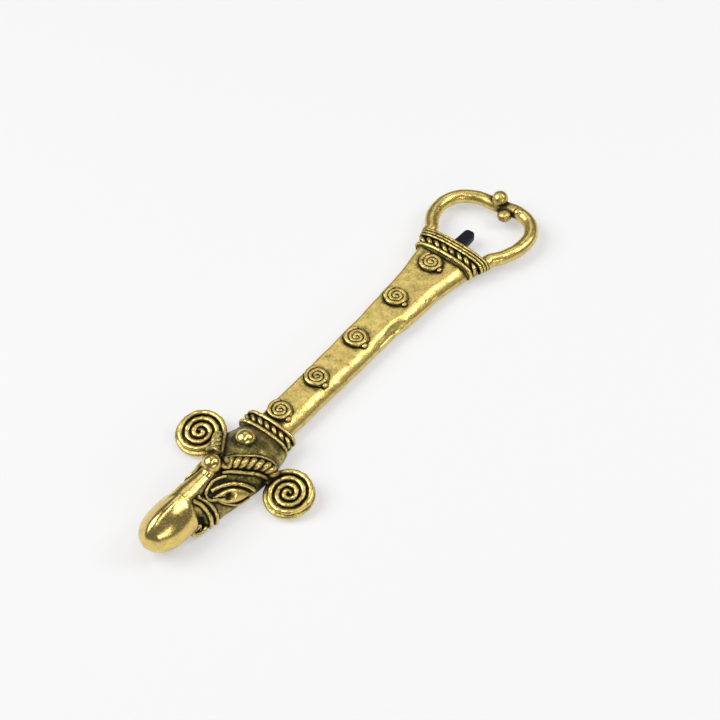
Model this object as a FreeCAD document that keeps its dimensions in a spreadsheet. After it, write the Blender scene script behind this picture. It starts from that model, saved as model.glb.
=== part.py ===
# A cast brass bottle opener, in millimetres: a flat tapering handle with five coiled rosettes,
# a bound collar and a heart-shaped loop with a steel tooth at one end, and a bound collar and an
# animal's head with spiral ears at the other.
# +X runs from the head to the loop, +Z is up, and the opener lies on Z = 0, centred on the origin.
import FreeCAD
import Part
import math
import os
import Sketcher

Vector = FreeCAD.Vector
Placement = FreeCAD.Placement
Rotation = FreeCAD.Rotation

DIMENSIONS = {
    # handle: a flat bar, half its width at four places along it
    "bar_base": 2.0,
    "bar_thickness": 5.0,
    "bar_edge_round": 1.9,
    "bar_head_end": -34.5,
    "bar_loop_end": 57.5,
    "bar_middle": 18.0,
    "bar_flare": 44.0,
    "bar_head_half_width": 6.4,
    "bar_middle_half_width": 7.3,
    "bar_flare_half_width": 8.8,
    "bar_loop_half_width": 10.9,
    # loop collar: a flaring core with five bands round it
    "collar_height": 4.6,
    "loop_core_front": 57.5,
    "loop_core_back": 65.5,
    "loop_core_front_half_width": 11.2,
    "loop_core_back_half_width": 13.8,
    "loop_core_half_height": 3.7,
    "loop_core_edge_round": 3.6,
    "loop_core_offset": 0.0,
    "loop_front_wire_width": 1.4,
    "loop_rope_width": 3.0,
    "loop_back_wire_width": 1.2,
    # loop: a round rod, and the two balls at its cleft
    "loop_height": 4.6,
    "loop_rod_radius": 2.2,
    "loop_root_offset": 11.7,
    "loop_knob_radius": 2.3,
    "loop_knob_x": 92.4,
    "loop_knob_y": 0.3,
    "loop_knob_z": 8.0,
    "rest_ball_radius": 2.1,
    "rest_ball_x": 89.0,
    "rest_ball_y": -3.8,
    "rest_ball_z": 3.9,
    # tooth: a tapered steel peg, let into a socket in the collar core
    "tooth_base": 2.3,
    "tooth_thickness": 3.4,
    "tooth_root_x": 60.5,
    "tooth_tip_x": 75.2,
    "tooth_root_half_width": 2.6,
    "tooth_tip_half_width": 1.9,
    "tooth_offset": 0.4,
    "tooth_corner_round": 0.6,
    # coiled rosettes on the handle
    "rosette_tube_radius": 0.69,
    "rosette_pitch": 1.5,
    "rosette_first_radius": 0.8,
    "rosette_disc_radius": 4.3,
    "rosette_disc_thickness": 0.5,
    # head collar: a straight core with three bands round it
    "head_core_front": -40.5,
    "head_core_half_width": 9.2,
    "head_core_half_height": 3.6,
    "head_wire_width": 1.6,
    "head_rope_width": 2.8,
    "band_wall": 0.9,
    # head, from the collar to the muzzle
    "head_muzzle": -76.5,
    "head_middle_height": 2.0,
    "snout_x": -83.7,
    "snout_length_radius": 11.8,
    "snout_radius": 7.8,
    "bridge_start_x": -61.5,
    "bridge_end_x": -84.0,
    "bridge_start_radius": 2.2,
    "bridge_end_radius": 4.6,
    "bridge_height": 12.6,
    "bridge_slope": 4.5,
    "forehead_ball_radius": 2.9,
    "forehead_ball_x": -63.2,
    "forehead_ball_z": 15.0,
    "crown_stud_radius": 3.3,
    "crown_stud_x": -48.0,
    "crown_stud_z": 11.8,
    # spiral ears
    "ear_left_x": -49.8,
    "ear_left_y": 19.0,
    "ear_right_x": -52.0,
    "ear_right_y": -19.0,
    "ear_base": 2.5,
    "ear_tilt": 9.0,
    "ear_tube_radius": 1.08,
    "ear_pitch": 2.3,
    "ear_first_radius": 1.2,
    "ear_disc_radius": 8.6,
    "ear_disc_thickness": 1.3,
    # ornament on the head
    "brow_rope_radius": 1.7,
    "brow_wire_radius": 0.7,
    "lid_wire_radius": 0.6,
    "noseband_radius": 0.75,
    "lip_radius": 0.9,
    "lip_ring_radius": 1.7,
    "eye_half_length": 7.2,
    "eye_half_height": 2.4,
    "eye_bulge": 1.3,
}

# Centre of each rosette on the handle's top.
ROSETTES = ((52.5, 1.8), (32.9, 1.5), (10.3, 0.6), (-11.0, 0.5), (-29.0, 1.0))

# Corners of the loop's route; round arcs join the runs between them.
LOOP_CORNERS = (
    (68.0, 11.7), (72.6, 15.6), (79.6, 17.5), (86.8, 15.2), (91.2, 8.6), (91.9, 0.2),
    (93.7, -7.6), (91.6, -14.2), (85.4, -18.0), (77.6, -17.6), (71.2, -15.0), (68.0, -12.4),
)

# The head's sections from the collar to the muzzle: place, half width, height of the top.
HEAD_SECTIONS = (
    (-40.5, 9.4, 8.7), (-48.0, 11.1, 12.2), (-55.5, 10.7, 13.3),
    (-63.5, 8.9, 13.9), (-70.5, 7.9, 13.6), (-76.5, 7.2, 12.6),
)

# Places along and across the head, in mm, where the parts laid on its left side run
BROW_ROPE = ((-61.6, 1.4), (-56.8, 4.3), (-52.9, 8.2))
BROW_ROPE_END = (-50.4, 11.9, 5.2)
BROW_UPPER = ((-59.3, 0.9), (-54.6, 4.2), (-50.6, 7.8))
BROW_UPPER_END = (-47.6, 11.2, 5.6)
BROW_LOWER = ((-62.8, 3.05), (-58.6, 6.25), (-55.2, 9.4))
BROW_LOWER_END = (-53.4, 11.0, 4.6)
EYE_CORNERS = ((-70.2, 5.1), (-57.4, 9.2))
EYE_MIDDLE = (-63.8, 7.4)
EYE_FACING = (0.75, 0.66)
EYELID = ((-71.2, 4.35), (-67.4, 5.05), (-62.6, 6.35), (-58.6, 8.45))
NOSEBAND_PLACES = (-72.9, -74.9)
NOSEBAND_WIDTHS = (3.0, 5.5, 7.0)
NOSEBAND_FOOT = 1.4
LIP_CENTRE = (-78.3, 6.2, 3.4)
LIP_LEAN = 70

document = FreeCAD.newDocument("bottle_opener")
sheet = document.addObject("Spreadsheet::Sheet", "Dims")
nodes = []


def fill_sheet():
    for row, (alias, size) in enumerate(DIMENSIONS.items(), start=1):
        sheet.set("A%d" % row, alias)
        sheet.set("B%d" % row, str(size))
        sheet.setAlias("B%d" % row, alias)
    document.recompute()


def cell(alias):
    return float(sheet.get(alias))


def bind(thing, **expressions):
    """Tie properties to expressions of the sheet's cells; __ stands for a dot."""
    for name, expression in expressions.items():
        thing.setExpression(name.replace("__", "."), expression)


def keep(thing, node):
    """Name a finished sub-part; its label names its file."""
    thing.Label = node
    nodes.append(thing)
    return thing


# Sketches and bodies

def new_body(name):
    return document.addObject("PartDesign::Body", name + "_body")


def new_sketch(body, role, offset=None):
    sketch = body.newObject("Sketcher::SketchObject", body.Name + "_sketch")
    plane = [item for item in body.Origin.OriginFeatures if item.Role == role][0]
    sketch.AttachmentSupport = [(plane, "")]
    sketch.MapMode = "FlatFace"
    if offset is not None:
        sketch.setExpression("AttachmentOffset.Base.z", offset)
    return sketch


def dimension(sketch, name, constraint, expression):
    index = sketch.addConstraint(constraint)
    sketch.renameConstraint(index, name)
    sketch.setExpression("Constraints." + name, expression)


def pad(body, sketch, length):
    feature = body.newObject("PartDesign::Pad", body.Name + "_pad")
    feature.Profile = sketch
    feature.setExpression("Length", length)
    return feature


def fillet(body, feature, edges, radius):
    document.recompute()
    rounding = body.newObject("PartDesign::Fillet", body.Name + "_fillet")
    rounding.Base = (feature, edges)
    rounding.setExpression("Radius", radius)
    body.Tip = rounding
    return rounding


def slot_sketch(body, place, half_width, half_height, height):
    """A slot across the opener: two half rounds joined by straight top and bottom lines."""
    sketch = new_sketch(body, "YZ_Plane", place)
    reach = 6.0
    radius = 3.0
    centre = cell("collar_height")
    quarter = math.pi / 2
    right = Part.Circle(Vector(reach, centre, 0), Vector(0, 0, 1), radius)
    left = Part.Circle(Vector(-reach, centre, 0), Vector(0, 0, 1), radius)
    sketch.addGeometry([
        Part.ArcOfCircle(right, -quarter, quarter),
        Part.LineSegment(Vector(reach, centre + radius, 0), Vector(-reach, centre + radius, 0)),
        Part.ArcOfCircle(left, quarter, 3 * quarter),
        Part.LineSegment(Vector(-reach, centre - radius, 0), Vector(reach, centre - radius, 0)),
    ], False)
    for first, second in ((0, 1), (1, 2), (2, 3), (3, 0)):
        sketch.addConstraint(Sketcher.Constraint("Tangent", first, 2, second, 1))
    sketch.addConstraint(Sketcher.Constraint("Equal", 0, 2))
    sketch.addConstraint(Sketcher.Constraint("Symmetric", 0, 3, 2, 3, -2))
    dimension(sketch, "Rise", Sketcher.Constraint("Radius", 0, radius), half_height)
    dimension(sketch, "Reach", Sketcher.Constraint("DistanceX", 2, 3, 0, 3, 2 * reach),
              "2 * (%s - %s)" % (half_width, half_height))
    dimension(sketch, "Height", Sketcher.Constraint("DistanceY", -1, 1, 0, 3, centre), height)
    return sketch


# Paths and tubes

def rounded_route(points):
    """Straight runs joined by tangent arcs, each as large as its two runs allow."""
    edges = []
    start = points[0]
    for before, corner, after in zip(points, points[1:], points[2:]):
        into, out = before - corner, after - corner
        trim = 0.45 * min(into.Length, out.Length)
        into.normalize()
        out.normalize()
        arc_start = corner + into * trim
        arc_end = corner + out * trim
        half = into.getAngle(out) / 2
        radius = trim * math.tan(half)
        bisector = into + out
        bisector.normalize()
        arc_middle = corner + bisector * (radius / math.sin(half) - radius)
        edges.append(Part.LineSegment(start, arc_start))
        edges.append(Part.Arc(arc_start, arc_middle, arc_end))
        start = arc_end
    edges.append(Part.LineSegment(start, points[-1]))
    return edges


def tube(name, points, radius):
    """A round bead of wax wire laid along a route in space."""
    route = Part.Wire([item.toShape() for item in rounded_route(points)])
    section = Part.Wire(Part.makeCircle(radius, points[0], points[1] - points[0]))
    bead = document.addObject("Part::Feature", name + "_blank")
    bead.Shape = route.makePipeShell([section], True, False)
    return bead


def carve(name, blank, tools):
    """Cut a blank by its neighbours, so that they meet face to face."""
    for number, tool in enumerate(tools):
        cut = document.addObject("Part::Cut", "%s_cut_%d" % (name, number))
        cut.Base = blank
        cut.Tool = tool
        blank = cut
    return keep(blank, name)


def sphere(name, radius, x, y, z):
    ball = document.addObject("Part::Sphere", name + "_blank")
    bind(ball, Radius=radius, Placement__Base__x=x, Placement__Base__y=y, Placement__Base__z=z)
    return ball


# Handle and collars

def handle_bar():
    body = new_body("handle_bar")
    sketch = new_sketch(body, "XY_Plane", "Dims.bar_base")
    stations = ("head_end", "middle", "flare", "loop_end")
    widths = ("head", "middle", "flare", "loop")
    spots = [(cell("bar_" + place), cell("bar_%s_half_width" % width))
             for place, width in zip(stations, widths)]
    outline = [Vector(x, -y, 0) for x, y in spots] + [Vector(x, y, 0) for x, y in reversed(spots)]
    count = len(outline)
    for index, corner in enumerate(outline):
        sketch.addGeometry(Part.LineSegment(corner, outline[(index + 1) % count]), False)
    for index in range(count):
        sketch.addConstraint(Sketcher.Constraint("Coincident", index, 2, (index + 1) % count, 1))
    for index, (place, width) in enumerate(zip(stations, widths)):
        mirror = count - 1 - index
        sketch.addConstraint(Sketcher.Constraint("Symmetric", index, 1, mirror, 1, -1))
        dimension(sketch, "Place%d" % index,
                  Sketcher.Constraint("DistanceX", -1, 1, index, 1, outline[index].x),
                  "Dims.bar_" + place)
        dimension(sketch, "Width%d" % index,
                  Sketcher.Constraint("DistanceY", index, 1, mirror, 1, 2 * outline[mirror].y),
                  "2 * Dims.bar_%s_half_width" % width)
    block = pad(body, sketch, "Dims.bar_thickness")
    document.recompute()
    long_edges = ["Edge%d" % (number + 1) for number, edge in enumerate(block.Shape.Edges)
                  if edge.BoundBox.XLength > 5]
    fillet(body, block, long_edges, "Dims.bar_edge_round")
    return keep(body, "handle_bar")


def tapered_block(name, height, thickness, offset, ends):
    """A block whose plan tapers between two ends, each given as a place and a half width."""
    body = new_body(name)
    sketch = new_sketch(body, "XY_Plane", height)
    order = ((0, -1), (1, -1), (1, 1), (0, 1))
    middle = cell(offset)
    corners = [Vector(cell(ends[end][0]), middle + side * cell(ends[end][1]), 0)
               for end, side in order]
    for index, corner in enumerate(corners):
        sketch.addGeometry(Part.LineSegment(corner, corners[(index + 1) % 4]), False)
    for index in range(4):
        sketch.addConstraint(Sketcher.Constraint("Coincident", index, 2, (index + 1) % 4, 1))
    for index, (end, side) in enumerate(order):
        place, half_width = ends[end]
        dimension(sketch, "Place%d" % index,
                  Sketcher.Constraint("DistanceX", -1, 1, index, 1, corners[index].x),
                  "Dims." + place)
        dimension(sketch, "Side%d" % index,
                  Sketcher.Constraint("DistanceY", -1, 1, index, 1, corners[index].y),
                  "Dims.%s + %d * Dims.%s" % (offset, side, half_width))
    return body, pad(body, sketch, thickness)


def loop_collar_flare():
    body, block = tapered_block(
        "loop_collar_flare", "Dims.collar_height - Dims.loop_core_half_height",
        "2 * Dims.loop_core_half_height", "loop_core_offset",
        (("loop_core_front", "loop_core_front_half_width"),
         ("loop_core_back", "loop_core_back_half_width")))
    document.recompute()
    long_edges = ["Edge%d" % (number + 1) for number, edge in enumerate(block.Shape.Edges)
                  if edge.BoundBox.XLength > 5]
    fillet(body, block, long_edges, "Dims.loop_core_edge_round")
    return body


def loop_collar_core(flare, tooth):
    """The flared core, with a socket that fits the tooth's root."""
    core = carve("loop_collar_core", flare, [tooth])
    document.recompute()
    if core.Shape.Volume > flare.Shape.Volume - 10:
        raise ValueError("the tooth's socket is not cut")


def cap_tooth():
    """A peg that tapers from its root in the collar to its tip in the loop."""
    body, block = tapered_block(
        "cap_tooth", "Dims.tooth_base", "Dims.tooth_thickness", "tooth_offset",
        (("tooth_root_x", "tooth_root_half_width"), ("tooth_tip_x", "tooth_tip_half_width")))
    document.recompute()
    tip_edges = ["Edge%d" % (number + 1) for number, edge in enumerate(block.Shape.Edges)
                 if edge.BoundBox.XMin > cell("tooth_tip_x") - 0.1]
    fillet(body, block, tip_edges, "Dims.tooth_corner_round")
    return keep(body, "cap_tooth")


def head_collar_core():
    body = new_body("head_collar_core")
    sketch = slot_sketch(body, "Dims.head_core_front", "Dims.head_core_half_width",
                         "Dims.head_core_half_height", "Dims.collar_height")
    pad(body, sketch, "Dims.bar_head_end - Dims.head_core_front")
    return keep(body, "head_collar_core")


def band(name, core, place, width, half_width, half_height, wall):
    """One wire or rope round a collar: a rounded ring, cut to fit its core."""
    body = new_body(name)
    sketch = slot_sketch(body, place, "%s + %s" % (half_width, wall),
                         "(%s + %s)" % (half_height, wall), "Dims.collar_height")
    ring = pad(body, sketch, width)
    document.recompute()
    edges = ["Edge%d" % (number + 1) for number, edge in enumerate(ring.Shape.Edges)
             if edge.BoundBox.XLength < 0.1]
    fillet(body, ring, edges, "min(0.46 * (%s); 0.8)" % width)
    return carve(name, body, [core])


def loop_collar_bands(core):
    """Bands follow the core's flare: each one's size is the core's at the band's middle."""
    names = ("front_wire", "rope", "back_wire_1", "back_wire_2", "back_wire_3")
    widths = ["Dims.loop_front_wire_width", "Dims.loop_rope_width"]
    widths += ["Dims.loop_back_wire_width"] * 3
    place = "Dims.loop_core_front"
    for name, width in zip(names, widths):
        share = "((%s + %s / 2 - Dims.loop_core_front) / (Dims.loop_core_back " \
                "- Dims.loop_core_front))" % (place, width)
        half_width = "(Dims.loop_core_front_half_width + (Dims.loop_core_back_half_width " \
                     "- Dims.loop_core_front_half_width) * %s)" % share
        band("loop_collar_" + name, core, place, width, half_width,
             "Dims.loop_core_half_height", "Dims.band_wall")
        place = "(%s + %s)" % (place, width)


def head_collar_bands(core):
    place = "Dims.head_core_front"
    for name, width in (("front_wire", "Dims.head_wire_width"),
                        ("rope", "Dims.head_rope_width"),
                        ("back_wire", "Dims.head_wire_width")):
        band("head_collar_" + name, core, place, width, "Dims.head_core_half_width",
             "Dims.head_core_half_height", "Dims.band_wall")
        place = "(%s + %s)" % (place, width)


# Loop

def opener_loop():
    body = new_body("opener_loop")
    path = new_sketch(body, "XY_Plane", "Dims.loop_height")
    root_x = cell("loop_core_back")
    route = [Vector(root_x, cell("loop_root_offset"), 0)]
    route += [Vector(x, y, 0) for x, y in LOOP_CORNERS]
    route.append(Vector(root_x, -12.4, 0))
    for piece in rounded_route(route):
        index = path.addGeometry(piece, False)
        path.addConstraint(Sketcher.Constraint("Block", index))
    section = new_sketch(body, "YZ_Plane", "Dims.loop_core_back")
    centre = Vector(cell("loop_root_offset"), cell("loop_height"), 0)
    section.addGeometry(Part.Circle(centre, Vector(0, 0, 1), 2.0), False)
    dimension(section, "Rod", Sketcher.Constraint("Radius", 0, 2.0), "Dims.loop_rod_radius")
    dimension(section, "Side", Sketcher.Constraint("DistanceX", -1, 1, 0, 3, centre.x),
              "Dims.loop_root_offset")
    dimension(section, "Height", Sketcher.Constraint("DistanceY", -1, 1, 0, 3, centre.y),
              "Dims.loop_height")
    rod = body.newObject("PartDesign::AdditivePipe", "loop_rod")
    rod.Profile = section
    rod.Spine = (path, [])
    document.recompute()
    length = sum(edge.Length for edge in path.Shape.Edges)
    expected = math.pi * cell("loop_rod_radius") ** 2 * length
    if abs(rod.Shape.Volume - expected) > 0.01 * expected:
        raise ValueError("the loop's rod has the wrong volume")
    return keep(body, "opener_loop")


# Coils

def coil(name, kind, half_turns):
    """A disc with a spiral of round wire on it, wound from growing half circles."""
    body = new_body(name)
    disc_sketch = new_sketch(body, "XY_Plane")
    radius = cell(kind + "_disc_radius")
    disc_sketch.addGeometry(Part.Circle(Vector(0, 0, 0), Vector(0, 0, 1), radius), False)
    disc_sketch.addConstraint(Sketcher.Constraint("Coincident", 0, 3, -1, 1))
    dimension(disc_sketch, "Disc", Sketcher.Constraint("Radius", 0, radius),
              "Dims.%s_disc_radius" % kind)
    pad(body, disc_sketch, "Dims.%s_disc_thickness" % kind)
    path = new_sketch(body, "XY_Plane", "Dims.%s_disc_thickness" % kind)
    first = cell(kind + "_first_radius")
    step = cell(kind + "_pitch") / 2
    sweep = cell(kind + "_tube_radius")
    for turn in range(half_turns):
        centre = Vector(step / 2 * (1 if turn % 2 else -1), 0, 0)
        circle = Part.Circle(centre, Vector(0, 0, 1), first + step * turn)
        start = math.pi * (turn % 2)
        index = path.addGeometry(Part.ArcOfCircle(circle, start, start + math.pi), False)
        path.addConstraint(Sketcher.Constraint("Block", index))
    side = 1 if half_turns % 2 == 0 else -1
    outer = side * (first + step * (half_turns - 1) + step / 2)
    section = new_sketch(body, "XZ_Plane")
    centre = Vector(outer, cell(kind + "_disc_thickness"), 0)
    section.addGeometry(Part.Circle(centre, Vector(0, 0, 1), sweep), False)
    dimension(section, "Wire", Sketcher.Constraint("Radius", 0, sweep),
              "Dims.%s_tube_radius" % kind)
    section.addConstraint(Sketcher.Constraint("DistanceX", -1, 1, 0, 3, centre.x))
    dimension(section, "Height", Sketcher.Constraint("DistanceY", -1, 1, 0, 3, centre.y),
              "Dims.%s_disc_thickness" % kind)
    wire = body.newObject("PartDesign::AdditivePipe", name + "_wire")
    wire.Profile = section
    wire.Spine = (path, [])
    return body


def rosettes(bar):
    for number, (x, y) in enumerate(ROSETTES, start=1):
        name = "spiral_rosette_%d" % number
        body = coil(name, "rosette", 5)
        body.Placement.Base = Vector(x, y, 0)
        body.setExpression("Placement.Base.z", "Dims.bar_base + Dims.bar_thickness")
        carve(name, body, [bar])


def ears(head, ropes):
    for side, sign, rope in (("left", 1, ropes[0]), ("right", -1, ropes[1])):
        name = "ear_" + side
        body = coil(name, "ear", 7)
        turn = 0 if sign > 0 else 180
        lean = Rotation(Vector(0, 1, 0), -cell("ear_tilt"))
        body.Placement.Rotation = lean * Rotation(Vector(0, 0, 1), turn)
        bind(body, Placement__Base__x="Dims.ear_%s_x" % side,
             Placement__Base__y="Dims.ear_%s_y" % side, Placement__Base__z="Dims.ear_base")
        carve(name, body, [head, rope])


# Head

def head_core():
    """An arched body through six sections, trimmed flat underneath so that it lies level."""
    body = new_body("head_core")
    base = cell("head_middle_height")
    sections = []
    for x, half_width, top in HEAD_SECTIONS:
        sketch = new_sketch(body, "YZ_Plane")
        sketch.AttachmentOffset = Placement(Vector(0, 0, x), Rotation())
        rise = top - base
        side, crown = Vector(half_width, base, 0), Vector(0, base + rise, 0)
        middle = Vector(0, base, 0)
        if half_width >= rise:
            arch = Part.ArcOfEllipse(Part.Ellipse(side, crown, middle), 0, math.pi)
        else:
            arch = Part.ArcOfEllipse(Part.Ellipse(crown, Vector(-half_width, base, 0), middle),
                                     -math.pi / 2, math.pi / 2)
        corners = [Vector(-half_width, base, 0), Vector(-half_width, -1, 0),
                   Vector(half_width, -1, 0), side]
        sketch.addGeometry(arch, False)
        for start, end in zip(corners, corners[1:]):
            sketch.addGeometry(Part.LineSegment(start, end), False)
        sections.append(sketch)
    loft = body.newObject("PartDesign::AdditiveLoft", "head_loft")
    loft.Profile = sections[0]
    loft.Sections = sections[1:]
    below = document.addObject("Part::Box", "below_head")
    bind(below, Length="Dims.head_core_front - Dims.head_muzzle + 2", Width="-4 * Dims.ear_right_y",
         Height="Dims.snout_radius", Placement__Base__x="Dims.head_muzzle - 1",
         Placement__Base__y="2 * Dims.ear_right_y", Placement__Base__z="-Dims.snout_radius")
    return carve("head_core", body, [below])


def head_section(x):
    """The head's half width and top at a place along it."""
    for (x1, wide1, top1), (x2, wide2, top2) in zip(HEAD_SECTIONS, HEAD_SECTIONS[1:]):
        if x2 <= x <= x1:
            share = (x - x1) / (x2 - x1)
            return wide1 + (wide2 - wide1) * share, top1 + (top2 - top1) * share
    raise ValueError("no part of the head lies at this place")


def head_point(x, y, lift=0.0):
    """A point on the head's top above (x, y), raised by lift."""
    half_width, top = head_section(x)
    base = cell("head_middle_height")
    fall = math.sqrt(max(0.0, 1 - (y / half_width) ** 2))
    return Vector(x, y, base + (top - base) * fall + lift)


def head_route(places, sign, lift=0.0):
    return [head_point(x, sign * y, lift) for x, y in places]


def snout(head):
    """A long rounded knob, turned about its own axis."""
    body = new_body("snout_knob")
    sketch = new_sketch(body, "XZ_Plane")
    reach, radius = cell("snout_length_radius"), cell("snout_radius")
    outline = Part.Ellipse(Vector(reach, 0, 0), Vector(0, radius, 0), Vector(0, 0, 0))
    sketch.addGeometry(Part.ArcOfEllipse(outline, 0, math.pi), False)
    sketch.addGeometry(Part.LineSegment(Vector(-reach, 0, 0), Vector(reach, 0, 0)), False)
    turned = body.newObject("PartDesign::Revolution", "snout_turned")
    turned.Profile = sketch
    turned.ReferenceAxis = (sketch, ["H_Axis"])
    turned.Angle = 360
    bind(body, Placement__Base__x="Dims.snout_x", Placement__Base__z="Dims.snout_radius")
    document.recompute()
    expected = 4 / 3 * math.pi * reach * radius ** 2
    if abs(turned.Shape.Volume - expected) > 0.01 * expected:
        raise ValueError("the snout has the wrong volume")
    return carve("snout_knob", body, [head])


def nose_bridge(head, snout_part):
    blank = document.addObject("Part::Cone", "bridge_blank")
    bind(blank, Radius1="Dims.bridge_start_radius", Radius2="Dims.bridge_end_radius",
         Height="Dims.bridge_start_x - Dims.bridge_end_x",
         Placement__Base__x="Dims.bridge_start_x", Placement__Base__z="Dims.bridge_height")
    blank.Placement.Rotation = Rotation(Vector(0, 1, 0), -90 - cell("bridge_slope"))
    return carve("nose_bridge", blank, [head, snout_part])


def brow(side, sign, head, bridge):
    """A rope between two wires, each running down from the forehead to the ear."""
    def route(places, end, lift=0.0):
        x, y, z = end
        return head_route(places, sign, lift) + [Vector(x, sign * y, z)]

    rope = carve("brow_rope_" + side,
                 tube("brow_rope_" + side, route(BROW_ROPE, BROW_ROPE_END),
                      cell("brow_rope_radius")), [head, bridge])
    wire = cell("brow_wire_radius")
    upper = route(BROW_UPPER, BROW_UPPER_END, 0.2)
    carve("brow_upper_wire_" + side, tube("brow_upper_wire_" + side, upper, wire), [head, rope])
    lower = route(BROW_LOWER, BROW_LOWER_END)
    carve("brow_lower_wire_" + side, tube("brow_lower_wire_" + side, lower, wire),
          [head, rope, bridge])
    return rope


def eye(side, sign, head):
    inner, outer = head_route(EYE_CORNERS, sign)
    blank = document.addObject("Part::Ellipsoid", "eye_%s_blank" % side)
    bind(blank, Radius1="Dims.eye_bulge", Radius2="Dims.eye_half_length",
         Radius3="Dims.eye_half_height")
    across, up = EYE_FACING
    outward = Vector(0, sign * across, up)
    blank.Placement = Placement(head_point(EYE_MIDDLE[0], sign * EYE_MIDDLE[1]),
                                Rotation(outer - inner, Vector(), outward, "XZY"))
    eyeball = carve("eye_" + side, blank, [head])
    lid = tube("eyelid_wire_" + side, head_route(EYELID, sign), cell("lid_wire_radius"))
    carve("eyelid_wire_" + side, lid, [head, eyeball])


def noseband(side, sign, head, bridge, snout_part):
    for number, x in enumerate(NOSEBAND_PLACES, start=1):
        name = "noseband_wire_%s_%d" % (side, number)
        foot = Vector(x, sign * head_section(x)[0], NOSEBAND_FOOT)
        route = head_route([(x, width) for width in NOSEBAND_WIDTHS], sign) + [foot]
        carve(name, tube(name, route, cell("noseband_radius")),
              [head, bridge, snout_part])


def lip(side, sign, head, snout_part):
    name = "lip_" + side
    blank = document.addObject("Part::Torus", name + "_blank")
    bind(blank, Radius1="Dims.lip_ring_radius", Radius2="Dims.lip_radius")
    x, y, z = LIP_CENTRE
    blank.Placement = Placement(Vector(x, sign * y, z),
                                Rotation(Vector(1, 0, 0), -LIP_LEAN * sign))
    carve(name, blank, [head, snout_part])


def check_document():
    document.recompute()
    for thing in document.Objects:
        if "Invalid" in thing.State or "Error" in thing.State:
            raise ValueError("%s failed: %s" % (thing.Name, thing.State))
    for node in nodes:
        if node.Shape.isNull() or not node.Shape.isValid():
            raise ValueError("%s has no valid shape" % node.Label)
        if len(node.Shape.Solids) != 1:
            raise ValueError("%s has %d solids" % (node.Label, len(node.Shape.Solids)))


def main():
    fill_sheet()
    bar = handle_bar()
    flare = loop_collar_flare()
    loop_collar_core(flare, cap_tooth())
    loop_collar_bands(flare)
    loop = opener_loop()
    carve("loop_knob", sphere("loop_knob", "Dims.loop_knob_radius", "Dims.loop_knob_x",
                              "Dims.loop_knob_y", "Dims.loop_knob_z"), [loop])
    carve("cap_rest_ball", sphere("cap_rest_ball", "Dims.rest_ball_radius", "Dims.rest_ball_x",
                                  "Dims.rest_ball_y", "Dims.rest_ball_z"), [loop])
    rosettes(bar)
    neck_core = head_collar_core()
    head_collar_bands(neck_core)
    head = head_core()
    snout_part = snout(head)
    bridge = nose_bridge(head, snout_part)
    ropes = []
    for side, sign in (("left", 1), ("right", -1)):
        ropes.append(brow(side, sign, head, bridge))
        eye(side, sign, head)
        noseband(side, sign, head, bridge, snout_part)
        lip(side, sign, head, snout_part)
    carve("forehead_ball", sphere("forehead_ball", "Dims.forehead_ball_radius",
                                  "Dims.forehead_ball_x", "0", "Dims.forehead_ball_z"),
          [head, bridge] + ropes)
    carve("crown_stud", sphere("crown_stud", "Dims.crown_stud_radius", "Dims.crown_stud_x",
                               "0", "Dims.crown_stud_z"), [head])
    ears(head, ropes)
    check_document()
    os.makedirs("parts", exist_ok=True)
    for node in nodes:
        node.Shape.exportStep("parts/%s.step" % node.Label)


main()
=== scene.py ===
"""A hand-cast brass bottle opener with an animal's head, built round its CAD frame."""
import math
import random

import bmesh
import bpy
import numpy as np
from bpy.props import FloatProperty, FloatVectorProperty, IntProperty, PointerProperty
from bpy.types import Operator, Panel, PropertyGroup
from mathutils import Matrix, Vector, noise
from mathutils.bvhtree import BVHTree


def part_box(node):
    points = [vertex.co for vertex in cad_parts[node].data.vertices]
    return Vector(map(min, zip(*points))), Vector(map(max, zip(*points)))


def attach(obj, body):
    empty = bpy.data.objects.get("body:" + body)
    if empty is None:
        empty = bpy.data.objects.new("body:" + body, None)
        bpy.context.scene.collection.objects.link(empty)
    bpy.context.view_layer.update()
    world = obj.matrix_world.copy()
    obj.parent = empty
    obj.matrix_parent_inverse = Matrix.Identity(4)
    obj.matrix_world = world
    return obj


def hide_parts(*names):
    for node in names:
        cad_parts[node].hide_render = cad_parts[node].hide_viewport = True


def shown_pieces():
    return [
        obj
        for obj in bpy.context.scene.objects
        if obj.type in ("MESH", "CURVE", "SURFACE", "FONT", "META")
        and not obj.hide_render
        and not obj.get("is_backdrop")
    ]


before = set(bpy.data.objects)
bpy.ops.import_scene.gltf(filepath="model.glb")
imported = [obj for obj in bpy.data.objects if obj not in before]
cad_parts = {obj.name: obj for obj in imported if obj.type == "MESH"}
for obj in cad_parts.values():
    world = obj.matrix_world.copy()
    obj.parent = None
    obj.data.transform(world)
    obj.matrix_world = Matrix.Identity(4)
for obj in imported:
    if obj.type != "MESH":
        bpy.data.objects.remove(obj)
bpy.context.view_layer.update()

bl_info = {
    "name": "Cast Brass Bottle Opener",
    "version": (1, 0, 0),
    "blender": (4, 5, 0),
    "location": "View3D > Sidebar > Opener",
    "description": "Builds a lost-wax cast brass bottle opener piece by piece",
    "category": "Object",
}

MM = 0.001
BODY = "root"
SIDES = (("left", 1), ("right", -1))
ROSETTE_COUNT = 5


# Sizes and colours that a user would change

class HandleSettings(PropertyGroup):
    wobble: FloatProperty(name="Wobble", description="Unevenness of the bar's long edges",
                          default=0.22 * MM, unit="LENGTH")
    hammering: FloatProperty(name="Hammering", description="Depth of the soft dents on its faces",
                             default=0.09 * MM, unit="LENGTH")
    pits: IntProperty(name="Pits", description="Number of small casting pits", default=46, min=0)
    pit_depth: FloatProperty(name="Pit depth", description="Depth of a casting pit",
                             default=0.22 * MM, unit="LENGTH")


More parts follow.
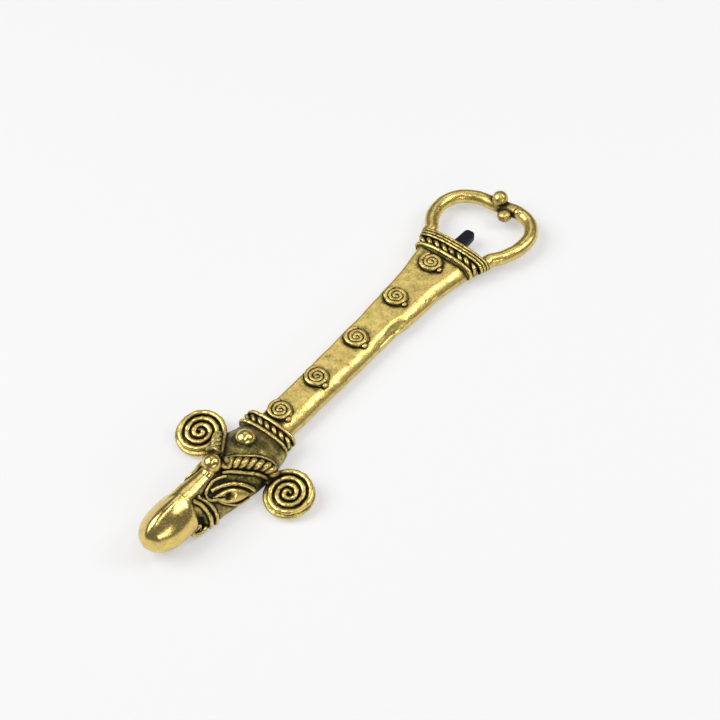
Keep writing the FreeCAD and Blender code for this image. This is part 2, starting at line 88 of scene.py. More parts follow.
class CollarSettings(PropertyGroup):
    rope_turns: IntProperty(name="Loop rope turns", description="Twists in the loop collar's rope",
                            default=8, min=1)
    neck_turns: IntProperty(name="Neck rope turns", description="Twists in the neck's rope",
                            default=7, min=1)
    wobble: FloatProperty(name="Wire wobble", description="How far a laid wire strays",
                          default=0.16 * MM, unit="LENGTH")


class CoilSettings(PropertyGroup):
    rosette_turns: FloatProperty(name="Rosette turns", description="Turns of wire in a rosette",
                                 default=2.6, min=1)
    ear_turns: FloatProperty(name="Ear turns", description="Turns of wire in an ear",
                             default=3.4, min=1)
    rosette_radius: FloatProperty(name="Rosette radius", description="Outer radius of a rosette",
                                  default=4.7 * MM, unit="LENGTH")
    ear_radius: FloatProperty(name="Ear radius", description="Outer radius of an ear",
                              default=9.2 * MM, unit="LENGTH")
    ear_lean: FloatProperty(name="Ear lean", description="How far the ears lean to the snout",
                            default=math.radians(9), subtype="ANGLE")
    ear_shift: FloatProperty(name="Ear shift", description="Both ears sit a little to one side",
                             default=1.4 * MM, unit="LENGTH")
    wobble: FloatProperty(name="Coil wobble", description="Unevenness of the wound wire",
                          default=0.16 * MM, unit="LENGTH")


class HeadSettings(PropertyGroup):
    voxel: FloatProperty(name="Grain", description="Size of the smallest cast detail",
                         default=0.24 * MM, unit="LENGTH")
    snout_length: FloatProperty(name="Snout length", description="Half the snout knob's length",
                                default=11.8 * MM, unit="LENGTH")
    rope_turns: FloatProperty(name="Brow rope turns", description="Twists in a brow's rope",
                              default=4.5, min=1)
    socket_depth: FloatProperty(name="Eye socket", description="Depth of the hollow round an eye",
                                default=0.7 * MM, unit="LENGTH")


class FinishSettings(PropertyGroup):
    polish: FloatVectorProperty(name="Polished brass", description="Colour of rubbed brass",
                                subtype="COLOR", default=(0.79, 0.60, 0.19), min=0, max=1)
    patina: FloatVectorProperty(name="Patina", description="Colour of aged brass",
                                subtype="COLOR", default=(0.20, 0.165, 0.05), min=0, max=1)
    soot: FloatVectorProperty(name="Soot", description="Colour of the deepest recesses",
                              subtype="COLOR", default=(0.018, 0.014, 0.006), min=0, max=1)
    reach: FloatProperty(name="Patina reach", description="How far from a corner patina spreads",
                         default=2.6 * MM, unit="LENGTH")


class StageSettings(PropertyGroup):
    azimuth: FloatProperty(name="Azimuth", description="Camera's bearing round the opener",
                           default=math.radians(-51.87), subtype="ANGLE")
    elevation: FloatProperty(name="Elevation", description="Camera's angle above the floor",
                             default=math.radians(50.5), subtype="ANGLE")
    distance: FloatProperty(name="Distance", description="From the camera to the opener",
                            default=0.6, unit="LENGTH")
    lens: FloatProperty(name="Lens", description="Focal length in millimetres", default=90.0)


# Meshes

def mesh_object(name, vertices, faces):
    mesh = bpy.data.meshes.new(name)
    mesh.from_pydata([tuple(v) for v in vertices], [], faces)
    return show(name, mesh)


def show(name, mesh):
    mesh.name = name
    for polygon in mesh.polygons:
        polygon.use_smooth = True
    thing = bpy.data.objects.new(name, mesh)
    bpy.context.scene.collection.objects.link(thing)
    return thing


def solid(name, vertices, faces):
    """A closed mesh object whose faces point outwards."""
    thing = mesh_object(name, vertices, faces)
    face_outwards(thing.data)
    return thing


def closed_tube(name, rings):
    """A tube through rings of equal length, with closed ends."""
    count = len(rings[0])
    vertices = [point for ring in rings for point in ring]
    faces = []
    for row in range(len(rings) - 1):
        for column in range(count):
            after = (column + 1) % count
            faces.append((row * count + column, row * count + after,
                          (row + 1) * count + after, (row + 1) * count + column))
    for row, turn in ((0, 1), (len(rings) - 1, -1)):
        vertices.append(sum((Vector(p) for p in rings[row]), Vector()) / count)
        middle = len(vertices) - 1
        for column in range(count):
            edge = (row * count + (column + 1) % count, row * count + column)
            faces.append(edge[::turn] + (middle,))
    return solid(name, vertices, faces)


def face_outwards(mesh):
    grid = bmesh.new()
    grid.from_mesh(mesh)
    bmesh.ops.remove_doubles(grid, verts=grid.verts, dist=1e-7)
    bmesh.ops.recalc_face_normals(grid, faces=grid.faces)
    grid.to_mesh(mesh)
    grid.free()


def frozen(name, thing):
    """The evaluated shape of an object as a plain mesh object, in its place."""
    bpy.context.view_layer.update()
    graph = bpy.context.evaluated_depsgraph_get()
    mesh = bpy.data.meshes.new_from_object(thing.evaluated_get(graph))
    data = thing.data
    bpy.data.objects.remove(thing)
    if isinstance(data, bpy.types.Curve):
        bpy.data.curves.remove(data)
    return show(name, mesh)


def join(name, things):
    grid = bmesh.new()
    for thing in things:
        grid.from_mesh(thing.data)
        mesh = thing.data
        bpy.data.objects.remove(thing)
        bpy.data.meshes.remove(mesh)
    mesh = bpy.data.meshes.new(name)
    grid.to_mesh(mesh)
    grid.free()
    return show(name, mesh)


def node_copy(node):
    """A merged copy of a CAD node's mesh, to shape a piece from."""
    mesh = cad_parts[node].data.copy()
    mesh.materials.clear()
    face_outwards(mesh)
    return show(node + "_copy", mesh)


def ball(centre, radius, stretch=(1, 1, 1)):
    grid = bmesh.new()
    bmesh.ops.create_icosphere(grid, subdivisions=4, radius=radius)
    for vertex in grid.verts:
        vertex.co = Vector(c * s for c, s in zip(vertex.co, stretch)) + centre
    mesh = bpy.data.meshes.new("ball")
    grid.to_mesh(mesh)
    grid.free()
    return show("ball", mesh)


def ball_of(node):
    """Centre and radius of the ball whose top shows as this node."""
    low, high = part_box(node)
    radius = (high.x - low.x) / 2
    return Vector(((low.x + high.x) / 2, (low.y + high.y) / 2, high.z - radius)), radius


def cast(name, things, voxel, passes):
    """Melts overlapping solids into one skin with soft inner corners."""
    block = join(name + "_wax", things)
    remesh = block.modifiers.new("Melt", "REMESH")
    remesh.mode = "VOXEL"
    remesh.voxel_size = voxel
    relax = block.modifiers.new("Relax", "SMOOTH")
    relax.factor = 0.5
    relax.iterations = passes
    return frozen(name, block)


def push_out(thing, amount):
    """Moves each point along its normal, as far as amount gives for its place and normal."""
    mesh = thing.data
    normals = [vertex.normal.copy() for vertex in mesh.vertices]
    for vertex, normal in zip(mesh.vertices, normals):
        vertex.co += normal * amount(vertex.co, normal)


def rough_cast(thing, height, size, seed):
    """Gives a surface the soft unevenness of a hand-made casting."""
    shift = Vector((seed * 7.3, seed * 3.1, seed * 5.7))

    def swell(place, normal):
        place = place / size + shift
        return height * (noise.noise(place) + 0.4 * noise.noise(place * 2.7))

    push_out(thing, swell)


def finish_piece(thing, material, nodes):
    thing.name = thing.data.name = thing.name.split(".")[0] + "_cast"
    thing.data.materials.clear()
    thing.data.materials.append(material)
    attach(thing, BODY)
    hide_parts(*nodes)


def finish_wire(thing, node):
    finish_piece(thing, cast_brass(), [node])


def add_node(tree, kind, values, settings):
    """A new node of a tree, with its inputs linked or set."""
    node = tree.nodes.new(kind)
    for key, value in settings.items():
        setattr(node, key, value)
    for socket, value in (values or {}).items():
        if isinstance(value, bpy.types.NodeSocket):
            tree.links.new(value, node.inputs[socket])
        else:
            node.inputs[socket].default_value = value
    return node


# Geometry Nodes: laid wires, twisted ropes and wound coils

class Tree:
    """A short way to write a node tree."""

    def __init__(self, name, inputs):
        self.tree = bpy.data.node_groups.new(name, "GeometryNodeTree")
        sockets = self.tree.interface
        sockets.new_socket("Geometry", in_out="OUTPUT", socket_type="NodeSocketGeometry")
        for label, kind in inputs:
            sockets.new_socket(label, in_out="INPUT", socket_type="NodeSocket" + kind)
        self.start = self.tree.nodes.new("NodeGroupInput")
        self.column = 0

    def node(self, kind, values=None, **settings):
        node = add_node(self.tree, kind, values, settings)
        self.column += 180
        node.location.x = self.column
        return node

    def math(self, operation, first, second):
        return self.node("ShaderNodeMath", {0: first, 1: second}, operation=operation).outputs[0]

    def vector(self, operation, first, second):
        name = "Scale" if operation == "SCALE" else 1
        return self.node("ShaderNodeVectorMath", {0: first, name: second},
                         operation=operation).outputs[0]

    def input(self, label):
        return self.start.outputs[label]

    def stray(self, curve, amount, seed):
        """Moves a curve's points by smooth noise."""
        place = self.node("GeometryNodeInputPosition").outputs[0]
        shifted = self.vector("ADD", place, self.vector("SCALE", (0.013, 0.029, 0.017), seed))
        wave = self.node("ShaderNodeTexNoise", {"Vector": shifted, "Scale": 420.0, "Detail": 1.0})
        centred = self.vector("SUBTRACT", wave.outputs["Color"], (0.5, 0.5, 0.5))
        offset = self.vector("SCALE", centred, amount)
        return self.node("GeometryNodeSetPosition",
                         {"Geometry": curve, "Offset": offset}).outputs[0]

    def swell(self, curve, seed):
        """Lets a wire's thickness vary along it."""
        place = self.node("GeometryNodeInputPosition").outputs[0]
        shifted = self.vector("ADD", place, self.vector("SCALE", (0.031, 0.011, 0.023), seed))
        wave = self.node("ShaderNodeTexNoise", {"Vector": shifted, "Scale": 700.0, "Detail": 1.0})
        radius = self.node("ShaderNodeMapRange", {
            "Value": wave.outputs[0], "From Min": 0.3, "From Max": 0.7,
            "To Min": 0.86, "To Max": 1.12}).outputs[0]
        return self.node("GeometryNodeSetCurveRadius",
                         {"Curve": curve, "Radius": radius}).outputs[0]

    def finish(self, curve, radius, sides, extra=None):
        profile = self.node("GeometryNodeCurvePrimitiveCircle",
                            {"Resolution": sides, "Radius": radius})
        tube = self.node("GeometryNodeCurveToMesh", {
            "Curve": curve, "Profile Curve": profile.outputs[0], "Fill Caps": True})
        radius_scale = tube.inputs.get("Scale")
        if radius_scale is not None:
            thick = self.node("GeometryNodeInputRadius").outputs[0]
            self.tree.links.new(thick, radius_scale)
        result = tube.outputs[0]
        if extra is not None:
            both = self.node("GeometryNodeJoinGeometry")
            self.tree.links.new(result, both.inputs[0])
            self.tree.links.new(extra, both.inputs[0])
            result = both.outputs[0]
        real = self.node("GeometryNodeRealizeInstances", {"Geometry": result})
        coat = self.node("GeometryNodeSetMaterial", {
            "Geometry": real.outputs[0], "Material": self.input("Material")})
        end = self.node("NodeGroupOutput")
        self.tree.links.new(coat.outputs[0], end.inputs[0])
        return self.tree


def laid_wire_tree():
    tree = Tree("Laid wire", (("Path", "Geometry"), ("Wire Radius", "Float"),
                              ("Wobble", "Float"), ("Seed", "Float"), ("Material", "Material")))
    even = tree.node("GeometryNodeResampleCurve",
                     {"Curve": tree.input("Path"), "Length": 0.3 * MM}, mode="LENGTH")
    loose = tree.stray(even.outputs[0], tree.input("Wobble"), tree.input("Seed"))
    uneven = tree.swell(loose, tree.input("Seed"))
    return tree.finish(uneven, tree.input("Wire Radius"), 14)


def twisted_rope_tree():
    tree = Tree("Twisted rope", (("Path", "Geometry"), ("Strands", "Int"), ("Turns", "Float"),
                                 ("Strand Radius", "Float"), ("Lay Radius", "Float"),
                                 ("Wobble", "Float"), ("Seed", "Float"),
                                 ("Material", "Material")))
    even = tree.node("GeometryNodeResampleCurve",
                     {"Curve": tree.input("Path"), "Length": 0.22 * MM}, mode="LENGTH")
    copies = tree.node("GeometryNodeDuplicateElements", {
        "Geometry": even.outputs[0], "Amount": tree.input("Strands")}, domain="SPLINE")
    along = tree.node("GeometryNodeSplineParameter").outputs["Factor"]
    share = tree.math("DIVIDE", copies.outputs["Duplicate Index"], tree.input("Strands"))
    turn = tree.math("ADD", tree.math("MULTIPLY", along, tree.input("Turns")), share)
    angle = tree.math("MULTIPLY", turn, 2 * math.pi)
    normal = tree.node("GeometryNodeInputNormal").outputs[0]
    tangent = tree.node("GeometryNodeInputTangent").outputs[0]
    across = tree.vector("CROSS_PRODUCT", tangent, normal)
    cosine = tree.node("ShaderNodeMath", {0: angle}, operation="COSINE").outputs[0]
    sine = tree.node("ShaderNodeMath", {0: angle}, operation="SINE").outputs[0]
    spoke = tree.vector("ADD", tree.vector("SCALE", normal, cosine),
                        tree.vector("SCALE", across, sine))
    offset = tree.vector("SCALE", spoke, tree.input("Lay Radius"))
    twisted = tree.node("GeometryNodeSetPosition",
                        {"Geometry": copies.outputs["Geometry"], "Offset": offset}).outputs[0]
    loose = tree.stray(twisted, tree.input("Wobble"), tree.input("Seed"))
    uneven = tree.swell(loose, tree.input("Seed"))
    return tree.finish(uneven, tree.input("Strand Radius"), 12)


def wound_coil_tree():
    tree = Tree("Wound coil", (("Backing", "Geometry"), ("Turns", "Float"),
                               ("Inner Radius", "Float"), ("Outer Radius", "Float"),
                               ("Wire Radius", "Float"), ("Centre", "Vector"),
                               ("Turned", "Vector"), ("Mirror", "Float"), ("Wobble", "Float"),
                               ("Seed", "Float"), ("Material", "Material")))
    spiral = tree.node("GeometryNodeCurveSpiral", {
        "Resolution": 56, "Rotations": tree.input("Turns"),
        "Start Radius": tree.input("Inner Radius"), "End Radius": tree.input("Outer Radius"),
        "Height": 0.0})
    stretch = tree.node("ShaderNodeCombineXYZ", {0: 1.0, 1: tree.input("Mirror"), 2: 1.0})
    placed = tree.node("GeometryNodeTransform", {
        "Geometry": spiral.outputs[0], "Translation": tree.input("Centre"),
        "Rotation": tree.input("Turned"), "Scale": stretch.outputs[0]})
    loose = tree.stray(placed.outputs[0], tree.input("Wobble"), tree.input("Seed"))
    uneven = tree.swell(loose, tree.input("Seed"))
    return tree.finish(uneven, tree.input("Wire Radius"), 14, extra=tree.input("Backing"))


def tree_named(name, builder):
    return bpy.data.node_groups.get(name) or builder()


def grow(name, base, tree, values):
    """Runs a node tree on a base object and keeps its plain mesh."""
    modifier = base.modifiers.new(tree.name, "NODES")
    modifier.node_group = tree
    sockets = {item.name: item.identifier for item in tree.interface.items_tree
               if item.item_type == "SOCKET" and item.in_out == "INPUT"}
    for label, value in values.items():
        modifier[sockets[label]] = value
    base.update_tag()
    return frozen(name, base)


def path_object(points, closed):
    """A straight-run curve through dense points."""
    curve = bpy.data.curves.new("path", "CURVE")
    curve.dimensions = "3D"
    spline = curve.splines.new("POLY")
    spline.points.add(len(points) - 1)
    for slot_point, place in zip(spline.points, points):
        slot_point.co = (*place, 1)
    spline.use_cyclic_u = closed
    thing = bpy.data.objects.new("path", curve)
    bpy.context.scene.collection.objects.link(thing)
    return thing


def smooth_route(points, steps=10):
    """A Catmull-Rom line through a few given points."""
    ends = [points[0] * 2 - points[1]] + list(points) + [points[-1] * 2 - points[-2]]
    line = []
    for before, start, end, after in zip(ends, ends[1:], ends[2:], ends[3:]):
        for step in range(steps):
            share = step / steps
            square, cube = share ** 2, share ** 3
            line.append(0.5 * ((2 * start) + (end - before) * share
                               + (2 * before - 5 * start + 4 * end - after) * square
                               + (3 * start - before - 3 * end + after) * cube))
    line.append(points[-1])
    return line


def lay_wire(name, route, closed, radius, wobble, seed):
    base = path_object(route, closed)
    return grow(name, base, tree_named("Laid wire", laid_wire_tree), {
        "Wire Radius": radius, "Wobble": wobble, "Seed": float(seed), "Material": cast_brass()})


def lay_rope(name, route, closed, turns, strand, lay, wobble, seed):
    base = path_object(route, closed)
    return grow(name, base, tree_named("Twisted rope", twisted_rope_tree), {
        "Strands": 2, "Turns": float(turns), "Strand Radius": strand, "Lay Radius": lay,
        "Wobble": wobble, "Seed": float(seed), "Material": cast_brass()})


# Materials

class Shader:
    """A short way to write a material."""

    def __init__(self, name):
        self.material = bpy.data.materials.new(name)
        self.material.use_nodes = True
        self.tree = self.material.node_tree
        self.surface = self.tree.nodes["Principled BSDF"]
        self.place = self.node("ShaderNodeTexCoord").outputs["Object"]

    def node(self, kind, values=None, **settings):
        return add_node(self.tree, kind, values, settings)

    def noise(self, size, detail=3.0, rough=0.55):
        return self.node("ShaderNodeTexNoise", {
            "Vector": self.place, "Scale": 1 / size, "Detail": detail,
            "Roughness": rough}).outputs[0]

    def math(self, operation, first, second):
        return self.node("ShaderNodeMath", {0: first, 1: second}, operation=operation).outputs[0]

    def spread(self, value, low, high, to_low=0.0, to_high=1.0):
        return self.node("ShaderNodeMapRange", {
            "Value": value, "From Min": low, "From Max": high,
            "To Min": to_low, "To Max": to_high}).outputs[0]

    def ramp(self, value, stops):
        node = self.node("ShaderNodeValToRGB", {0: value})
        band = node.color_ramp
        while len(band.elements) < len(stops):
            band.elements.new(0.5)
        for element, (position, colour) in zip(band.elements, stops):
            element.position = position
            element.color = (*colour, 1)
        return node.outputs[0]

    def attribute(self, name):
        return self.node("ShaderNodeAttribute", attribute_name=name).outputs["Fac"]

    def plug(self, socket, value):
        target = self.surface.inputs[socket]
        if isinstance(value, bpy.types.NodeSocket):
            self.tree.links.new(value, target)
        else:
            target.default_value = value


def mix(first, second, share):
    return tuple(a + (b - a) * share for a, b in zip(first, second))


def brass(name, age, shine):
    """Cast brass: rubbed bright where it stands out, olive to black where it lies deep.

    age moves the whole surface towards patina; shine is the roughness of a rubbed place.
    """
    known = bpy.data.materials.get(name)
    if known:
        return known
    finish = bpy.context.scene.opener_finish
    polish, patina, soot = tuple(finish.polish), tuple(finish.patina), tuple(finish.soot)
    shader = Shader(name)
    mottle = shader.noise(3.2 * MM, 4.0, 0.6)
    speckle = shader.noise(0.7 * MM, 3.0, 0.65)
    grain = shader.noise(0.16 * MM, 2.0, 0.6)
    depth = shader.attribute("patina")
    wear = shader.attribute("wear")
    cloud = shader.spread(mottle, 0.3, 0.7, -0.18, 0.20)
    dots = shader.spread(speckle, 0.35, 0.7, -0.09, 0.15)
    aged = shader.math("ADD", shader.math("ADD", depth, cloud), shader.math("ADD", dots, age))
    aged = shader.math("ADD", aged, shader.attribute("age"))
    tone = shader.math("SUBTRACT", aged, shader.math("MULTIPLY", wear, 0.08))
    clean = shader.spread(tone, 0.0, 1.0)
    colour = shader.ramp(clean, (
        (0.0, polish), (0.2, mix(polish, patina, 0.25)), (0.42, mix(polish, patina, 0.85)),
        (0.6, mix(patina, soot, 0.5)), (0.82, soot)))
    tint = shader.spread(shader.noise(9 * MM, 2.0), 0.3, 0.7, 0.489, 0.508)
    varied = shader.node("ShaderNodeHueSaturation", {"Hue": tint, "Color": colour})
    shader.plug("Base Color", varied.outputs[0])
    shader.plug("Metallic", shader.spread(clean, 0.5, 1.0, 1.0, 0.55))
    gloss = shader.spread(clean, 0.0, 0.8, shine, 0.62)
    scuff = shader.spread(speckle, 0.3, 0.7, -0.04, 0.07)
    shader.plug("Roughness", shader.math("ADD", gloss, scuff))
    height = shader.math("ADD", speckle, shader.math("MULTIPLY", grain, 0.35))
    bump = shader.node("ShaderNodeBump", {
        "Height": height, "Strength": 0.35, "Distance": 0.07 * MM})
    shader.plug("Normal", bump.outputs[0])
    return shader.material


def cast_brass():
    return brass("wire_brass", 0.06, 0.27)


def rubbed_brass():
    return brass("rubbed_brass", 0.08, 0.24)


def handle_brass():
    return brass("handle_brass", 0.10, 0.28)


def aged_brass():
    return brass("head_brass", 0.03, 0.15)


def black_steel():
    """Blackened steel, rubbed a little grey on its edges."""
    shader = Shader("blackened_steel")
    smear = shader.noise(1.1 * MM, 3.0)
    grain = shader.noise(0.15 * MM, 2.0)
    wear = shader.attribute("wear")
    tone = shader.spread(shader.math("ADD", smear, shader.math("MULTIPLY", wear, 0.6)), 0.3, 1.1)
    shader.plug("Base Color", shader.ramp(tone, (
        (0.0, (0.006, 0.006, 0.009)), (0.6, (0.016, 0.016, 0.022)), (1.0, (0.07, 0.07, 0.08)))))
    shader.plug("Metallic", 0.7)
    shader.plug("Roughness", shader.spread(smear, 0.3, 0.7, 0.34, 0.52))
    bump = shader.node("ShaderNodeBump", {"Height": grain, "Strength": 0.3, "Distance": 0.05 * MM})
    shader.plug("Normal", bump.outputs[0])
    return shader.material


# Outlines

# Places along the handle, in mm, and its half width there
BAR_WIDTHS = ((-34.5, 6.4), (18.0, 7.3), (44.0, 8.8), (57.5, 10.9))
# Hammer marks on the handle's right edge: place, reach (m) and depth (mm)
EDGE_DENTS = ((0.0216, 0.0034, 0.75), (0.0275, 0.0022, -0.45), (0.0150, 0.0028, 0.3),
              (0.0420, 0.0030, 0.25))


# The broad shoulder's corners: how far in from the side (mm), and share of the half height
SHOULDER = ((4.6, 0.99), (3.4, 0.95), (2.0, 0.68), (0.8, 0.26), (0.12, -0.12), (0.0, -0.5),
            (0.12, -0.84), (0.7, -1.0))
# The other shoulder's breadth, as a share of the broad one's
TIGHT_SHOULDER = 0.42


def bar_half_width(x):
    place = x / MM
    for (x1, wide1), (x2, wide2) in zip(BAR_WIDTHS, BAR_WIDTHS[1:]):
        if place <= x2:
            break
    share = min(1.0, max(0.0, (place - x1) / (x2 - x1)))
    return (wide1 + (wide2 - wide1) * share) * MM


def bar_outline(half_width, half_height):
    """Half a bar's outline, mirrored: flat top, broad soft shoulder, upright side, flat base."""
    corners = [Vector(((half_width / MM - inset) * MM, share * half_height, 0))
               for inset, share in SHOULDER]
    side = [(p.x, p.y) for p in smooth_route(corners, 8)]
    tight = [(half_width - (half_width - y) * TIGHT_SHOULDER, z) for y, z in side]
    return even_outline(tight + [(-y, z) for y, z in side[::-1]], 128)


def even_outline(points, count):
    """Points spaced evenly along a closed outline."""
    closed = points + points[:1]
    lengths = [0.0]
    for (y1, z1), (y2, z2) in zip(closed, closed[1:]):
        lengths.append(lengths[-1] + math.hypot(y2 - y1, z2 - z1))
    result, leg = [], 0
    for index in range(count):
        travel = lengths[-1] * index / count
        while lengths[leg + 1] < travel:
            leg += 1
        share = (travel - lengths[leg]) / max(1e-12, lengths[leg + 1] - lengths[leg])
        (y1, z1), (y2, z2) = closed[leg], closed[leg + 1]
        result.append((y1 + (y2 - y1) * share, z1 + (z2 - z1) * share))
    return result


def pillow(half_width, half_height, squareness, count):
    """A soft-cornered outline between an ellipse (2) and a rectangle (large)."""
    points = []
    for index in range(360):
        angle = math.radians(index)
        c, s = math.cos(angle), math.sin(angle)
        points.append((math.copysign(abs(c) ** (2 / squareness), c) * half_width,
                       math.copysign(abs(s) ** (2 / squareness), s) * half_height))
    return even_outline(points, count)


def rounded_rectangle(half_width, half_height, corner, count):
    """Evenly spaced points round a rectangle with round corners, in (y, z)."""
    straight_y, straight_z = half_width - corner, half_height - corner
    quarter = math.pi * corner / 2
    legs = []
    for centre, start in (((straight_y, straight_z), 0), ((-straight_y, straight_z), 1),
                          ((-straight_y, -straight_z), 2), ((straight_y, -straight_z), 3)):
        legs.append(("arc", centre, start * math.pi / 2, quarter))
        legs.append(("run", centre, (start + 1) * math.pi / 2,
                     2 * (straight_y if start % 2 == 0 else straight_z)))
    total = sum(leg[3] for leg in legs)
    points = []
    for index in range(count):
        travel = total * index / count
        for kind, (y, z), angle, length in legs:
            if travel <= length:
                break
            travel -= length
        if kind == "arc":
            angle += travel / corner
            points.append((y + corner * math.cos(angle), z + corner * math.sin(angle)))
        else:
            direction = angle + math.pi / 2
            points.append((y + corner * math.cos(angle) + travel * math.cos(direction),
                           z + corner * math.sin(angle) + travel * math.sin(direction)))
    return points


# Between an ellipse (2) and a rectangle (large)
COLLAR_SQUARENESS = 2.35


def band_path(node, inset, place=0.5, count=120):
    """The middle line of a wire or rope that lies round a collar, inset from its outside."""
    low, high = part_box(node)
    x = low.x + (high.x - low.x) * place
    outline = pillow((high.y - low.y) / 2 - inset, (high.z - low.z) / 2 - inset,
                     COLLAR_SQUARENESS, count)
    return [Vector((x, y, z + (high.z + low.z) / 2)) for y, z in outline]


def collar_core(node, bands):
    """The solid inside a collar, as wide at each place as the bands that lie on it."""
    low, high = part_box(node)
    edges = []
    for band in bands:
        band_low, band_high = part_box(band)
        edges.append((band_low.x, band_high.y, (band_high.z - band_low.z) / 2, band_high.z))
        edges.append((band_high.x, band_high.y, (band_high.z - band_low.z) / 2, band_high.z))
    rings = []
    sink = 1.15 * MM
    for step in range(41):
        x = low.x + (high.x - low.x) * step / 40
        _, half_width, half_height, top = min(edges, key=lambda edge: abs(edge[0] - x))
        rings.append([Vector((x, y, top - half_height + z))
                      for y, z in pillow(half_width - sink, half_height - sink,
                                         COLLAR_SQUARENESS, 110)])
    return closed_tube(node, rings)


# Pieces

class OPENER_OT_handle(Operator):
    """Builds the flat handle bar with its soft dents and casting pits"""
    bl_idname = "opener.handle"
    bl_label = "Handle"

    def execute(self, context):
        settings = context.scene.opener_handle
        bar = self.bar(settings)
        chance = random.Random(11)
        low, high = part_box("handle_bar")
        pits = [(Vector((chance.uniform(low.x, high.x), chance.uniform(low.y, high.y), 0)),
                 chance.uniform(0.25, 0.6) * MM, chance.uniform(0.4, 1.0))
                for _ in range(settings.pits)]
        normals = [vertex.normal.copy() for vertex in bar.data.vertices]
        for vertex, normal in zip(bar.data.vertices, normals):
            place = vertex.co.copy()
            soft = noise.noise(place * 150) + 0.5 * noise.noise(place * 420)
            vertex.co += normal * settings.hammering * (soft - 0.5)
            if normal.z > 0.6:
                for spot, reach, depth in pits:
                    gap = math.hypot(place.x - spot.x, place.y - spot.y) / reach
                    if gap < 2:
                        vertex.co.z -= settings.pit_depth * depth * math.exp(-gap * gap * 2)
        finish_piece(bar, handle_brass(), ["handle_bar"])
        return {"FINISHED"}

    def bar(self, settings):
        low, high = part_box("handle_bar")
        middle = (low.z + high.z) / 2
        rings = []
        stations = 420
        for step in range(stations + 1):
            x = low.x + (high.x - low.x) * step / stations
            half_width = bar_half_width(x)
            dent = sum(depth * MM * math.exp(-((x - place) / reach) ** 2)
                       for place, reach, depth in EDGE_DENTS)
            ring = []
            for y, z in bar_outline(half_width, (high.z - low.z) / 2):
                side = 1 if y > 0 else -1
                stray = noise.noise(Vector((x * 75, side * 4.0, 0.3)))
                stray += 0.5 * noise.noise(Vector((x * 240, side * 9.0, 1.3)))
                share = min(1.0, abs(y) / (half_width * 0.8))
                y += side * settings.wobble * (stray - 0.35) * share
                if side < 0:
                    y += dent * share ** 3 * (1.0 if z > 0 else 0.45)
                    z -= 0.5 * dent * share ** 3 if z > 0 else 0
                ring.append(Vector((x, y, middle + z)))
            rings.append(ring)
        return closed_tube("handle", rings)


# How far each rosette sits from its place, in mm, as it was laid by hand
ROSETTE_SHIFTS = ((0.6, -0.5, 0), (0.2, -0.2, 0), (0, 0, 0), (0, -0.1, 0), (-0.2, 0, 0))


class OPENER_OT_rosettes(Operator):
    """Builds the five coiled rosettes on the handle"""
    bl_idname = "opener.rosettes"
    bl_label = "Rosettes"

    def execute(self, context):
        settings = context.scene.opener_coil
        tree = tree_named("Wound coil", wound_coil_tree)
        for number in range(1, ROSETTE_COUNT + 1):
            node = "spiral_rosette_%d" % number
            low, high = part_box(node)
            centre = Vector(((low.x + high.x) / 2, (low.y + high.y) / 2, low.z))
            centre += Vector(ROSETTE_SHIFTS[number - 1]) * MM
            outer = settings.rosette_radius
            wire = 0.78 * MM
            backing = disc(centre, outer - 0.6 * MM, 0.5 * MM, seed=number)
            chance = random.Random(40 + number)
            tail = centre + Vector((-0.25, -0.97, 0)) * (outer - 0.4 * MM)
            blob = ball(tail + Vector((0, 0, 0.35 * MM)), 0.95 * MM, (1.15, 0.9, 0.7))
            base = join("backing", [backing, blob])
            rosette = grow("rosette_%d" % number, base, tree, {
                "Turns": settings.rosette_turns, "Inner Radius": 0.3 * MM,
                "Outer Radius": outer - wire, "Wire Radius": wire,
                "Centre": centre + Vector((0, 0, 0.7 * MM)),
                "Turned": (0.0, 0.0, chance.uniform(-1.9, -1.4)), "Mirror": 1.0,
                "Wobble": settings.wobble * 1.6, "Seed": float(number),
                "Material": cast_brass()})
            press_flat(rosette, high.z + 0.1 * MM, 0.4)
            finish_wire(rosette, node)
        return {"FINISHED"}


class OPENER_OT_ears(Operator):
    """Builds the two spiral ears"""
    bl_idname = "opener.ears"
    bl_label = "Ears"

    def execute(self, context):
        settings = context.scene.opener_coil
        tree = tree_named("Wound coil", wound_coil_tree)
        for side, sign in SIDES:
            node = "ear_" + side
            low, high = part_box(node)
            outer = settings.ear_radius
            tip = high.y if sign > 0 else low.y
            centre = Vector(((low.x + high.x) / 2 + 0.4 * MM, tip - sign * outer - settings.ear_shift,
                             (low.z + high.z) / 2 - 1.2 * MM))
            lean = Matrix.Rotation(-settings.ear_lean, 4, "Y")
            wire = 1.0 * MM
            backing = disc(Vector(), outer - 0.7 * MM, 1.15 * MM, seed=20 + sign)
            backing.data.transform(Matrix.Translation(centre) @ lean)
            ear = grow("ear_" + side, backing, tree, {
                "Turns": settings.ear_turns, "Inner Radius": 0.2 * MM,
                "Outer Radius": outer - wire, "Wire Radius": wire,
                "Centre": centre + lean @ Vector((0, 0, 1.45 * MM)),
                "Turned": tuple((lean @ Matrix.Rotation(sign * 0.77, 4, "Z")).to_euler()),
                "Mirror": float(sign),
                "Wobble": settings.wobble * 1.7, "Seed": 30.0 + sign,
                "Material": cast_brass()})
            finish_wire(ear, node)
        return {"FINISHED"}


def disc(centre, radius, thickness, seed):
    """A thin round backing with an uneven rim."""
    rings = []
    profile = ((0.3, 0), (0.97, 0), (1.0, 0.35), (0.98, 0.75), (0.92, 1), (0.3, 1))
    for share, height in profile:
        ring = []
        for step in range(72):
            angle = 2 * math.pi * step / 72
            ripple = 1 + 0.02 * noise.noise(Vector((math.cos(angle), math.sin(angle), seed)))
            ring.append(centre + Vector((math.cos(angle) * radius * share * ripple,
                                         math.sin(angle) * radius * share * ripple,
                                         thickness * height)))
        rings.append(ring)
    return closed_tube("disc", rings)


